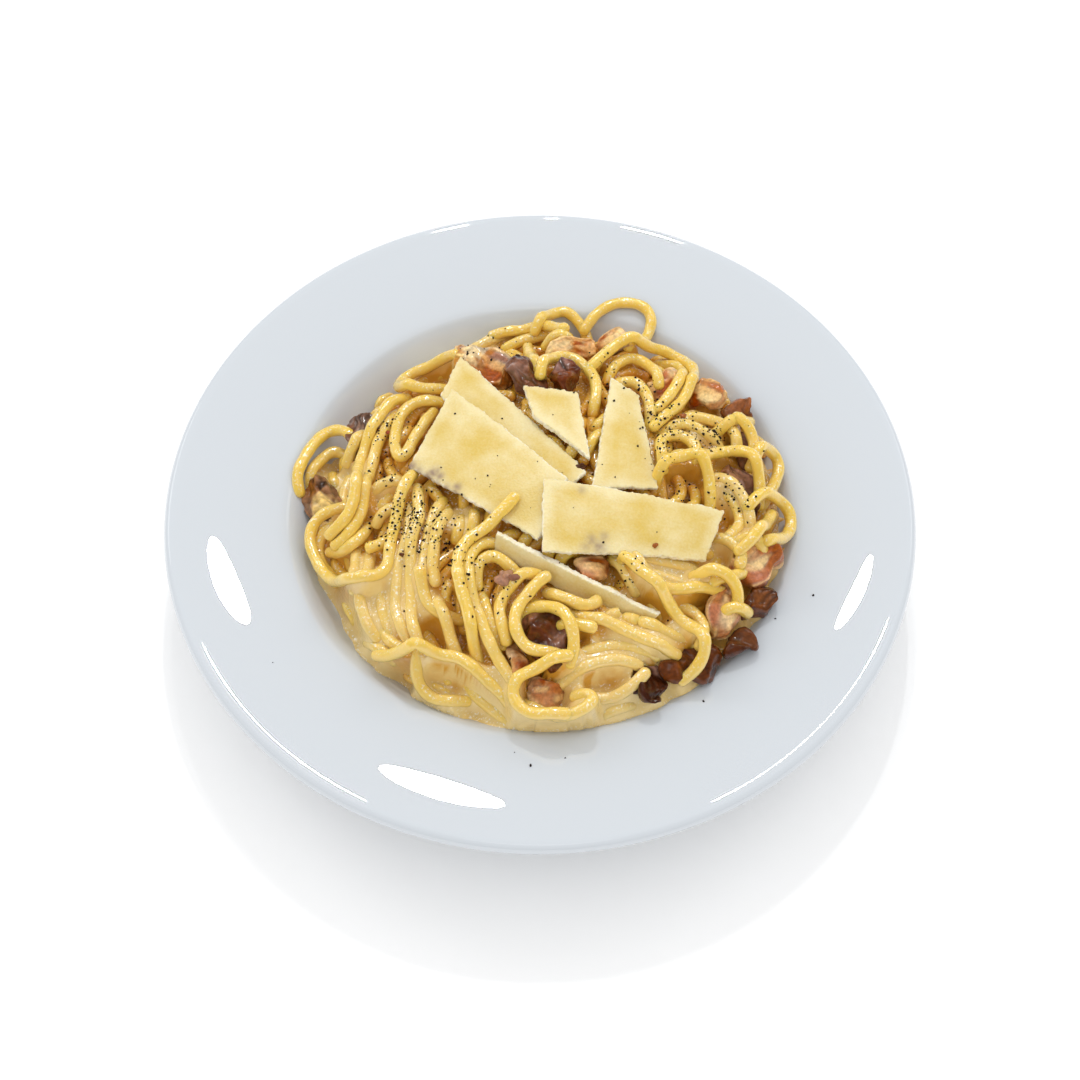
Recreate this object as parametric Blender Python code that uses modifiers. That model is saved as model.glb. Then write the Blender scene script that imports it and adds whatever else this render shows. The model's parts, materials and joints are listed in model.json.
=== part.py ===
"""Spaghetti carbonara in the wide-rimmed pasta plate that it is served in.

The plate stands on its foot ring at z = 0, with its axis on the Z axis.  A domed heap of
spaghetti in cream sauce fills the well.  Lardons of bacon and slices of mushroom are sunk
part way into the heap, each in a pocket of its own, and six shavings of hard cheese lie
over one another on top.  Sizes below are in millimetres and degrees.
"""

import math

import bmesh
import bpy
from mathutils import Euler, Vector

MM = 0.001
COLLECTION = "spaghetti_carbonara"
CUTTERS = "cutters"

# ---- plate -------------------------------------------------------------------------------
PLATE_RADIUS = 130.0
PLATE_HEIGHT = 40.0
CREST_RADIUS = 127.4  # highest ring of the rolled lip
SHOULDER_RADIUS = 90.5  # where the sloping rim turns down into the well
SHOULDER_HEIGHT = 33.3
FLOOR_RADIUS = 50.0
FLOOR_HEIGHT = 8.0
FOOT_OUTER = 61.0
FOOT_INNER = 56.5
FOOT_DEPTH = 2.6
FOOT_DRAFT = 0.9  # how much the foot narrows over its height, on each side
# (inwards from the rim's outer radius, down from its height) round the rolled lip
LIP = ((0.8, 0.9), (0.0, 2.8), (0.9, 4.8), (3.6, 6.1))
# (radius, height) of the underside between the rim and the foot
UNDERSIDE = ((92.5, 27.3), (86.5, 22.5), (80.5, 15.6), (73.0, 8.6), (66.0, 4.4))
PLATE_SEGMENTS = 60
# (radius, height) down the curved wall of the well, from the shoulder to the floor
WELL_WALL = ((88.0, 32.4), (85.5, 30.0), (81.0, 24.5), (75.0, 18.0), (68.0, 12.5), (60.0, 9.2))

# ---- heap of spaghetti -------------------------------------------------------------------
HEAP_PEAK = 54.0
HEAP_RADIUS = 84.0  # mean radius where the heap meets the wall of the well
HEAP_LEAN = 4.0  # how much further it spreads towards HEAP_LEAN_TOWARDS
HEAP_LEAN_TOWARDS = -30.0
HEAP_POWER = 2.4  # above 2 is a flatter top with a steeper edge
HEAP_EDGE_RISE = 1.2  # the outer strands stand this much above the wall
HEAP_SPREAD = 1.08  # the raw dome runs past the wall, which trims it
HEAP_SINK = 3.0  # and below the floor
HEAP_LUMPS = ((1.1, 5, 20.0), (0.8, 9, 75.0))  # height, lumps round the dome, phase
CAVITY_SKIPS = (68.0, 81.0)  # the heap's hidden side needs fewer bends than the wall
CAVITY_HEADROOM = 20.0
HEAP_SEGMENTS = 32
HEAP_RINGS = 16
GAP = 0.3  # kept between any two touching pieces
WALL_GAP = 0.24  # the same gap off a sloping wall, as a step in and a step up
POCKET_GROWTH = 0.56  # how far a pocket's corners stand off what sits in it

# ---- pieces ------------------------------------------------------------------------------
# cheese: (centre), (heading, pitch, roll), length, (start width, end width),
#         (start slant, end slant), arch, thickness
SHAVINGS = (
    ((-17.0, 0.5, 56.0), (-41.0, 5.2, 8.0), 56.0, (32.0, 23.0), (-9.0, -7.0), 1.6, 1.7),
    ((-10.5, 18.8, 52.3), (-50.0, 6.2, -4.0), 67.0, (17.0, 14.0), (-11.0, -3.0), 0.4, 1.6),
    ((5.5, 23.0, 55.6), (-29.0, 1.0, -7.0), 22.0, (10.0, 24.0), (-10.0, -18.0), 0.3, 2.0),
    ((29.4, 14.5, 53.6), (-7.0, -10.0, -4.0), 16.5, (49.0, 38.0), (2.5, -10.0), 0.8, 1.7),
    ((30.0, -22.5, 55.9), (-2.0, -10.0, 8.0), 58.5, (26.0, 18.5), (-1.0, 6.0), 2.6, 1.7),
    ((10.0, -41.5, 49.2), (-27.0, -8.0, 66.0), 57.0, (7.0, 9.0), (-2.0, 4.0), 0.4, 2.2),
)
# bacon: (x, y), lift of its middle above the heap, (length, width, height), (heading, pitch, roll),
#        bend across the length
BACON = (
    ((-21.0, 53.6), -0.6, (25.0, 13.0, 9.0), (-26.0, 6.0, 12.0), 1.6),
    ((12.0, 61.5), 0.5, (18.0, 10.0, 8.0), (18.0, -8.0, 14.0), -1.0),
    ((27.8, 65.0), 1.5, (12.0, 9.0, 9.0), (24.0, 14.0, 10.0), 0.8),
    ((45.0, 44.0), -1.0, (13.0, 9.0, 7.0), (30.0, 0.0, 10.0), 0.8),
    ((60.0, 42.0), 0.5, (13.5, 9.0, 7.0), (-12.0, 16.0, 6.0), 1.0),
    ((73.5, -27.5), 1.5, (18.0, 12.0, 9.5), (42.0, 4.0, 12.0), -1.2),
    ((60.0, -47.5), 0.5, (17.5, 9.0, 8.0), (82.0, -4.0, 10.0), 1.4),
    ((-7.0, -66.0), -1.0, (14.0, 5.5, 6.0), (96.0, -8.0, 0.0), 0.6),
    ((1.0, -76.0), -0.5, (12.0, 9.0, 7.0), (165.0, -6.0, -10.0), 0.8),
    ((17.0, -35.8), -2.0, (11.0, 8.0, 4.6), (8.0, -8.0, 0.0), 0.5),
)
# mushroom slice: (x, y), lift, (height stalk to cap, cap width, thickness), (heading, pitch, roll)
MUSHROOMS = (
    ((-4.5, 43.5), 0.0, (15.0, 12.0, 5.0), (118.0, 0.0, 30.0)),
    ((9.0, 42.5), 0.5, (12.0, 10.0, 4.5), (85.0, 8.0, 24.0)),
    ((70.5, 35.5), 0.3, (12.0, 9.0, 4.0), (62.0, 10.0, 26.0)),
    ((71.5, 18.5), 0.5, (12.0, 8.0, 3.8), (105.0, 0.0, 34.0)),
    ((68.5, -0.5), 0.5, (16.0, 10.0, 4.0), (118.0, 4.0, 30.0)),
    ((72.5, -42.5), 0.8, (12.0, 8.5, 4.2), (48.0, 0.0, 16.0)),
    ((65.5, -57.8), 2.4, (10.0, 7.6, 4.0), (48.0, 0.0, 4.0)),
    ((49.8, -65.3), 0.5, (17.5, 10.0, 4.6), (24.0, -4.0, 24.0)),
    ((35.2, -72.6), 0.8, (13.0, 10.0, 5.0), (100.0, -6.0, 26.0)),
    ((3.0, -59.0), -0.5, (18.0, 15.0, 6.0), (104.0, 0.0, -8.0)),
    ((-76.5, 1.5), 1.0, (17.0, 11.0, 4.6), (104.0, 0.0, -22.0)),
    ((-63.5, 29.0), 1.0, (13.0, 12.0, 5.0), (66.0, 0.0, -16.0)),
)
SHAVING_CELLS = (7, 3)
BACON_CUTS = 2
BACON_ROUNDNESS = 4.0  # power of the rounded box: 2 is an ellipsoid
MUSHROOM_POINTS = 14
MUSHROOM_EDGE = 0.9  # rounding round the slice's flat faces

# name: (linear colour, roughness, metallic)
FINISHES = {
    "glazed_porcelain": ((0.76, 0.79, 0.83), 0.12, 0.0),
    "creamy_spaghetti": ((0.82, 0.56, 0.13), 0.35, 0.0),
    "hard_cheese": ((0.82, 0.66, 0.30), 0.6, 0.0),
    "cooked_bacon": ((0.45, 0.13, 0.06), 0.42, 0.0),
    "cooked_mushroom": ((0.12, 0.055, 0.03), 0.45, 0.0),
}


def well_wall_height(radius):
    """Height of the well's inner surface at a radius, out to the rim's crest."""
    points = [(0.0, FLOOR_HEIGHT), (FLOOR_RADIUS, FLOOR_HEIGHT)]
    points += list(reversed(WELL_WALL))
    points += [(SHOULDER_RADIUS, SHOULDER_HEIGHT), (CREST_RADIUS, PLATE_HEIGHT)]
    for (r0, z0), (r1, z1) in zip(points, points[1:]):
        if radius <= r1:
            return z0 + (z1 - z0) * (radius - r0) / (r1 - r0)
    return PLATE_HEIGHT


def heap_edge(angle):
    """(radius, height) of the heap's outline in a direction, in radians."""
    radius = HEAP_RADIUS + HEAP_LEAN * math.cos(angle - math.radians(HEAP_LEAN_TOWARDS))
    return radius, well_wall_height(radius) + HEAP_EDGE_RISE


def heap_height(x, y, lumps=True):
    """Height of the heap's top above a point, carried on down past its outline."""
    angle, reach = math.atan2(y, x), math.hypot(x, y)
    radius, edge = heap_edge(angle)
    part = reach / radius
    height = edge + (HEAP_PEAK - edge) * (1.0 - part**HEAP_POWER)
    if lumps:
        fade = 4.0 * part * part * max(0.0, 1.0 - part * part)
        for size, count, phase in HEAP_LUMPS:
            swing = math.cos(count * angle + math.radians(phase)) * math.cos(3.0 * math.pi * part)
            height += size * fade * swing
    return height


def new_collection(name):
    collection = bpy.data.collections.new(name)
    bpy.context.scene.collection.children.link(collection)
    return collection


def finish(name):
    """The Principled material of one of the FINISHES."""
    if name in bpy.data.materials:
        return bpy.data.materials[name]
    colour, roughness, metallic = FINISHES[name]
    material = bpy.data.materials.new(name)
    material.use_nodes = True
    shader = material.node_tree.nodes["Principled BSDF"]
    shader.inputs["Base Color"].default_value = (*colour, 1.0)
    shader.inputs["Roughness"].default_value = roughness
    shader.inputs["Metallic"].default_value = metallic
    return material


def add_object(name, bm, collection, finish_name=None, smooth_angle=None):
    """Turns a bmesh in millimetres into an object in metres and frees it."""
    bmesh.ops.scale(bm, vec=(MM, MM, MM), verts=bm.verts)
    bmesh.ops.recalc_face_normals(bm, faces=bm.faces)
    mesh = bpy.data.meshes.new(name)
    bm.to_mesh(mesh)
    bm.free()
    if finish_name:
        mesh.materials.append(finish(finish_name))
    if smooth_angle is not None:
        mesh.shade_smooth()
        mesh.set_sharp_from_angle(angle=math.radians(smooth_angle))
    obj = bpy.data.objects.new(name, mesh)
    collection.objects.link(obj)
    return obj


def turned(name, profile, collection, finish_name=None, smooth_angle=None):
    """A profile of (radius, height) points turned round the Z axis with a Screw modifier."""
    bm = bmesh.new()
    points = [bm.verts.new((r, 0.0, z)) for r, z in profile]
    for first, second in zip(points, points[1:]):
        bm.edges.new((first, second))
    obj = add_object(name, bm, collection, finish_name, smooth_angle)
    screw = obj.modifiers.new("Turn", "SCREW")
    screw.axis = "Z"
    screw.steps = screw.render_steps = PLATE_SEGMENTS
    screw.use_merge_vertices = True
    screw.merge_threshold = 0.0001
    screw.use_smooth_shade = True
    return obj


def build_plate(collection):
    """The plate, from the middle of its floor up over the rim and back under to its foot."""
    inside = [(0.0, FLOOR_HEIGHT), (FLOOR_RADIUS, FLOOR_HEIGHT)] + list(reversed(WELL_WALL))
    rim = [(SHOULDER_RADIUS, SHOULDER_HEIGHT), (CREST_RADIUS, PLATE_HEIGHT)]
    rim += [(PLATE_RADIUS - inwards, PLATE_HEIGHT - down) for inwards, down in LIP]
    foot = [
        (FOOT_OUTER + FOOT_DRAFT, FOOT_DEPTH),
        (FOOT_OUTER, 0.0),
        (FOOT_INNER, 0.0),
        (FOOT_INNER - FOOT_DRAFT, FOOT_DEPTH),
        (0.0, FOOT_DEPTH),
    ]
    return turned("plate", inside + rim + list(UNDERSIDE) + foot, collection, "glazed_porcelain", 40.0)


def build_cavity(collection):
    """The free space of the well, one gap inside its wall, which trims the heap."""
    top, reach = HEAP_PEAK + CAVITY_HEADROOM, CREST_RADIUS
    wall = [(r - WALL_GAP, z + WALL_GAP) for r, z in WELL_WALL if r not in CAVITY_SKIPS]
    profile = [(0.0, top), (reach, top), (reach, PLATE_HEIGHT + GAP)]
    profile += [(SHOULDER_RADIUS, SHOULDER_HEIGHT + GAP)] + wall
    profile += [(FLOOR_RADIUS, FLOOR_HEIGHT + GAP), (0.0, FLOOR_HEIGHT + GAP)]
    return as_cutter(turned("well_cavity", profile, collection))


def as_cutter(obj):
    obj.hide_render = True
    obj.display_type = "WIRE"
    return obj


def build_heap(collection, cavity, pockets):
    """A ball pressed into the heap's dome, trimmed by the well and cut for what it carries."""
    bm = bmesh.new()
    bmesh.ops.create_uvsphere(bm, u_segments=HEAP_SEGMENTS, v_segments=HEAP_RINGS, radius=1.0)
    for vert in bm.verts:
        angle = math.atan2(vert.co.y, vert.co.x)
        upper = vert.co.z > -1e-4
        # the rings are spread evenly over the dome instead of crowding towards its outline
        share = math.acos(max(-1.0, min(1.0, abs(vert.co.z)))) / (0.5 * math.pi)
        reach = share * HEAP_SPREAD * heap_edge(angle)[0]
        x, y = reach * math.cos(angle), reach * math.sin(angle)
        below = FLOOR_HEIGHT - HEAP_SINK * abs(vert.co.z)
        vert.co = (x, y, heap_height(x, y) if upper else below)
    heap = add_object("pasta_heap", bm, collection, "creamy_spaghetti", 60.0)
    trim = heap.modifiers.new("Well", "BOOLEAN")
    trim.operation = "INTERSECT"
    trim.object = cavity
    for pocket in pockets:
        cut = heap.modifiers.new(pocket.name, "BOOLEAN")
        cut.operation = "DIFFERENCE"
        cut.object = pocket
    return heap


def placed(bm, centre, turn):
    """Tilts a piece made round the origin by (heading, pitch, roll) and moves it to its place."""
    heading, pitch, roll = (math.radians(v) for v in turn)
    matrix = Euler((roll, -pitch, heading), "XYZ").to_matrix()
    bmesh.ops.transform(bm, matrix=matrix.to_4x4(), verts=bm.verts)
    bmesh.ops.translate(bm, vec=Vector(centre), verts=bm.verts)
    # warped quads are split here, so that a piece and its pocket are split alike
    bmesh.ops.triangulate(bm, faces=bm.faces[:])


def shaving_mesh(index):
    """A thin broken slab of cheese: a grid stretched to a slanted taper, arched and thickened."""
    centre, turn, length, widths, slants, arch, thickness = SHAVINGS[index]
    bm = bmesh.new()
    cells_u, cells_v = SHAVING_CELLS
    bmesh.ops.create_grid(bm, x_segments=cells_u, y_segments=cells_v, size=0.5)
    for vert in bm.verts:
        u, v = vert.co.x, vert.co.y
        width = widths[0] + (widths[1] - widths[0]) * (u + 0.5)
        slant = slants[0] + (slants[1] - slants[0]) * (u + 0.5)
        ragged = 0.5 * math.sin(9.0 * u + 5.0 * index) * (1.0 if abs(v) > 0.49 else 0.0)
        vert.co.x = u * length + slant * v
        vert.co.y = v * width + math.copysign(ragged, v)
        vert.co.z = arch * (1.0 - 4.0 * u * u) * math.cos(math.pi * v * 0.6)
    bmesh.ops.solidify(bm, geom=bm.faces[:], thickness=thickness)
    bmesh.ops.translate(bm, vec=(0.0, 0.0, -arch * 0.5), verts=bm.verts)
    placed(bm, centre, turn)
    return bm


def bacon_mesh(index):
    """A lardon: a box rounded at its corners, wavy along its faces and a little bent."""
    (x, y), lift, size, turn, bend = BACON[index]
    bm = bmesh.new()
    bmesh.ops.create_cube(bm, size=2.0)
    bmesh.ops.subdivide_edges(bm, edges=bm.edges[:], cuts=BACON_CUTS, use_grid_fill=True)
    for vert in bm.verts:
        power = BACON_ROUNDNESS
        norm = sum(abs(c) ** power for c in vert.co) ** (1.0 / power)
        u, v, w = (c / norm for c in vert.co)
        wave = 1.0 + 0.10 * math.sin(4.1 * u + 1.7 * index) + 0.06 * math.sin(5.3 * v + index)
        vert.co = (
            0.5 * size[0] * u * (1.0 + 0.06 * math.sin(3.0 * v + 2.0 * index)),
            0.5 * size[1] * v * wave,
            0.5 * size[2] * w * (2.0 - wave) + bend * (1.0 - 2.0 * u * u),
        )
    placed(bm, (x, y, heap_height(x, y, lumps=False) + lift), turn)
    return bm


def mushroom_outline(share, height, width):
    """A point of a sliced mushroom's outline: a domed cap over a short thick stalk."""
    angle = 2.0 * math.pi * share
    across, along = math.sin(angle), math.cos(angle)
    if along > -0.35:
        return along * 0.42 * height + 0.08 * height, across * 0.5 * width
    # below the cap's edge the outline draws in to the stalk
    return along * 0.55 * height, across * 0.5 * width * 0.62


def mushroom_mesh(index):
    """A slice cut through a mushroom's cap and stalk, its flat faces rounded at the edge."""
    (x, y), lift, (height, width, thickness), turn = MUSHROOMS[index]
    bm = bmesh.new()
    bmesh.ops.create_circle(bm, cap_ends=True, segments=MUSHROOM_POINTS, radius=1.0)
    for number, vert in enumerate(bm.verts):
        along, across = mushroom_outline(number / MUSHROOM_POINTS, height, width)
        vert.co = (along, across, -0.5 * thickness + MUSHROOM_EDGE)
    bm.faces.ensure_lookup_table()
    base = bm.faces[0]
    rise = bmesh.ops.extrude_face_region(bm, geom=[base], use_keep_orig=True)
    top = [item for item in rise["geom"] if isinstance(item, bmesh.types.BMFace)][0]
    bmesh.ops.translate(
        bm, vec=(0.0, 0.0, thickness - 2.0 * MUSHROOM_EDGE), verts=list(top.verts)
    )
    for face, side in ((base, -1.0), (top, 1.0)):
        bmesh.ops.inset_region(bm, faces=[face], thickness=MUSHROOM_EDGE)
        bmesh.ops.translate(bm, vec=(0.0, 0.0, side * MUSHROOM_EDGE), verts=list(face.verts))
    placed(bm, (x, y, heap_height(x, y, lumps=False) + lift), turn)
    return bm


def grown(bm, by):
    """The same closed mesh moved out along its normals."""
    bmesh.ops.recalc_face_normals(bm, faces=bm.faces)
    bm.normal_update()
    for vert, normal in [(vert, vert.normal.copy()) for vert in bm.verts]:
        vert.co += normal * by
    return bm


def main():
    for obj in list(bpy.data.objects):
        bpy.data.objects.remove(obj, do_unlink=True)
    dish, cutters = new_collection(COLLECTION), new_collection(CUTTERS)
    kinds = (
        ("shaving", SHAVINGS, shaving_mesh, "hard_cheese", 50.0),
        ("bacon", BACON, bacon_mesh, "cooked_bacon", 60.0),
        ("mushroom", MUSHROOMS, mushroom_mesh, "cooked_mushroom", 50.0),
    )
    pockets = []
    for kind, rows, mesh_of, finish_name, smooth_angle in kinds:
        for index in range(len(rows)):
            name = f"{kind}_{index + 1}"
            add_object(name, mesh_of(index), dish, finish_name, smooth_angle)
            pocket = add_object(f"pocket_{name}", grown(mesh_of(index), POCKET_GROWTH), cutters)
            pockets.append(as_cutter(pocket))
    build_plate(dish)
    build_heap(dish, build_cavity(cutters), pockets)


if __name__ == "__main__":
    main()
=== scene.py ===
import json
import math
import random

import bmesh
import bpy
import numpy as np
from mathutils import Matrix, Vector, noise
from mathutils.bvhtree import BVHTree
from mathutils.kdtree import KDTree

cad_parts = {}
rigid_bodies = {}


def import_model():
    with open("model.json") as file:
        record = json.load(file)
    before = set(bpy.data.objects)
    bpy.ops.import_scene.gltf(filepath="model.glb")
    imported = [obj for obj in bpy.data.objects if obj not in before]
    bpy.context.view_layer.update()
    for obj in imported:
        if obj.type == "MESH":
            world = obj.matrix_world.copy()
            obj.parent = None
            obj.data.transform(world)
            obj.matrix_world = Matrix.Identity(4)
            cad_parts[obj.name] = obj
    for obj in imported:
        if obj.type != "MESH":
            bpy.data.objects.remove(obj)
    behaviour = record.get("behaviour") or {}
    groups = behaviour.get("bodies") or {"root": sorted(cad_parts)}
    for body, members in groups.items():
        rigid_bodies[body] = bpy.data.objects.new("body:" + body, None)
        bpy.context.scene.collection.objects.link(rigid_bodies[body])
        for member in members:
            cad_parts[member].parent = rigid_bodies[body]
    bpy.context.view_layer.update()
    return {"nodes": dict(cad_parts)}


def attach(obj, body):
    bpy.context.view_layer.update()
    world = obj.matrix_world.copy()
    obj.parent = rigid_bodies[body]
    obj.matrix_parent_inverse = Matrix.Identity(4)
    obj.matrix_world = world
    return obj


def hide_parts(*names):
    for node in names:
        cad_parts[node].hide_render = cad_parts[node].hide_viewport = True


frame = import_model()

bl_info = {
    "name": "Plate of spaghetti carbonara",
    "version": (1, 0, 0),
    "blender": (4, 5, 0),
    "location": "View3D > Sidebar > Carbonara",
    "description": "Cooks the visual pieces of the dish round its packed frame",
    "category": "Add Mesh",
}

MM = 0.001

# ---- plate, in millimetres -----------------------------------------------------------------
FLOOR_HEIGHT = 8.0
# (radius, height) over the inside, from the middle out to the rim's crest
PLATE_INSIDE = (
    (0.0, 8.0), (50.0, 8.0), (60.0, 9.2), (68.0, 12.5), (75.0, 18.0), (81.0, 24.5),
    (85.5, 30.0), (88.0, 32.4), (90.5, 33.3), (127.4, 40.0),
)
# round the rolled lip and back under to the foot
PLATE_OUTSIDE = (
    (129.2, 39.1), (130.0, 37.2), (129.1, 35.2), (126.4, 33.9), (92.5, 27.3), (86.5, 22.5),
    (80.5, 15.6), (73.0, 8.6), (66.0, 4.4), (61.9, 2.6), (61.0, 0.0), (56.5, 0.0), (55.6, 2.6),
    (0.0, 2.6),
)
PLATE_SEGMENTS = 192
LONGEST_CUT = 1.3  # a corner is cut off at most this far along its sides
LONGEST_STRAIGHT = 3.0

# ---- heap, in millimetres --------------------------------------------------------------------
HEAP_PEAK = 54.0
HEAP_RADIUS = 84.0
HEAP_LEAN = 4.0
HEAP_LEAN_TOWARDS = -30.0
HEAP_POWER = 2.4
HEAP_EDGE_RISE = 1.2
CORE_DEPTH = 7.2  # the hidden core's top lies this far below the heap's
SHELF = 92.0  # strands and sauce stay inside this radius

# ---- relief grid, in millimetres ---------------------------------------------------------------
NOWHERE = -1e9  # the height of a cell with nothing in it
OVER_ALL, UNDER_ALL = 120.0, -10.0  # where rays start
DOWN = Vector((0.0, 0.0, -1.0))
CELL = 0.5
HALF = 100.0
GRID_LINE = np.arange(-HALF, HALF + 0.5 * CELL, CELL)
GRID_SIZE = len(GRID_LINE)
GRID_X, GRID_Y = np.meshgrid(GRID_LINE, GRID_LINE, indexing="ij")

# ---- strands ---------------------------------------------------------------------------------
PITCH = 1.1  # spacing of the points along a strand
STRIDE = 2.0  # length of a hidden strand's steps before its route is smoothed
SHARPEST_TURN = 0.13  # of a hidden strand, in radians a millimetre
BEND_CHANGE = 0.035  # how much its bend changes at each step
STEPS = (14, 44)  # fewest and most steps in it
SCATTER = 82.0  # it starts inside this radius
TURN_BACK, EDGE_GAP = 7.0, 2.4  # where it turns inwards, and how close it comes to the edge
SHARPEST_TURN_BACK = 0.45  # in radians a step
FOLLOW = 0.34  # how readily a hidden strand turns the way its neighbours run
TRIES = 6000  # hidden strands dropped, most of which find no room
SHORTEST = 8  # points on the shortest stretch that is kept
BELOW_LAID, BELOW_TOP = 2.6, 0.9  # hidden strands stop this far below the heap, near and away
SINK = 0.86  # strands settle into each other by the rest of their radius
STRAND_LIFT = -0.4  # of a laid strand's middle above the heap's height
BESIDE = 5.0  # hidden strands stay low within this distance of a laid one
SWELLING = 0.035  # how much thicker and thinner a strand turns along its length
END_SHAPE = ((0.98, 0.30), (0.85, 0.55), (0.5, 0.87))  # (how far out, how wide), in shares
END_DIP, END_POINTS = 3.2, 7  # how far a strand's end dips, and over how many points

# Where the sauce stands high between the strands: (x, y), reach, how much of it there is
THINNEST = 0.12  # how much there is elsewhere
CREAMY = (
    ((-70.0, 9.0), 9.0, 0.95), ((-52.0, -4.0), 8.0, 0.6), ((-56.0, -47.0), 10.0, 0.95),
    ((-46.0, -34.0), 8.0, 0.6), ((-36.0, -47.0), 8.0, 0.5), ((-30.0, -73.0), 11.0, 0.9),
    ((-15.0, -78.0), 9.0, 1.0), ((4.0, -80.0), 7.0, 0.6), ((22.0, -72.0), 12.0, 1.0),
    ((38.0, -66.0), 9.0, 0.7), ((44.0, -36.0), 10.0, 0.8), ((62.0, -27.0), 8.0, 0.7),
    ((58.0, 20.0), 9.0, 0.6), ((64.0, -6.0), 7.0, 0.7), ((-24.0, 66.0), 11.0, 0.7),
    ((-26.0, -16.0), 7.0, 0.8), ((26.0, -48.0), 9.0, 0.5), ((8.0, -44.0), 7.0, 0.4),
    ((-72.0, -6.0), 7.0, 0.5), ((72.0, -20.0), 6.0, 0.5), ((-40.0, 66.0), 9.0, 0.6),
    ((60.0, 62.0), 10.0, 0.3), ((0.0, 84.0), 8.0, 0.5), ((-62.0, -30.0), 7.0, 0.6),
    ((32.0, -76.0), 10.0, 0.9), ((46.0, -58.0), 7.0, 0.6), ((6.0, -86.0), 7.0, 0.8),
)

# Sauce that ran out past the heap onto the wall of the well: (x, y), reach, depth
POOLS = (((-73.0, 14.0), 7.5, 5.5), ((-70.0, 22.0), 5.0, 4.0), ((70.0, 10.0), 6.0, 4.0))

TOPPING_SHOWS = 1.6  # how much of a topping stands out of the sauce at least
INTO_GLAZE = 1.2  # the core's hidden underside lies this far inside the plate's wall

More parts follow.
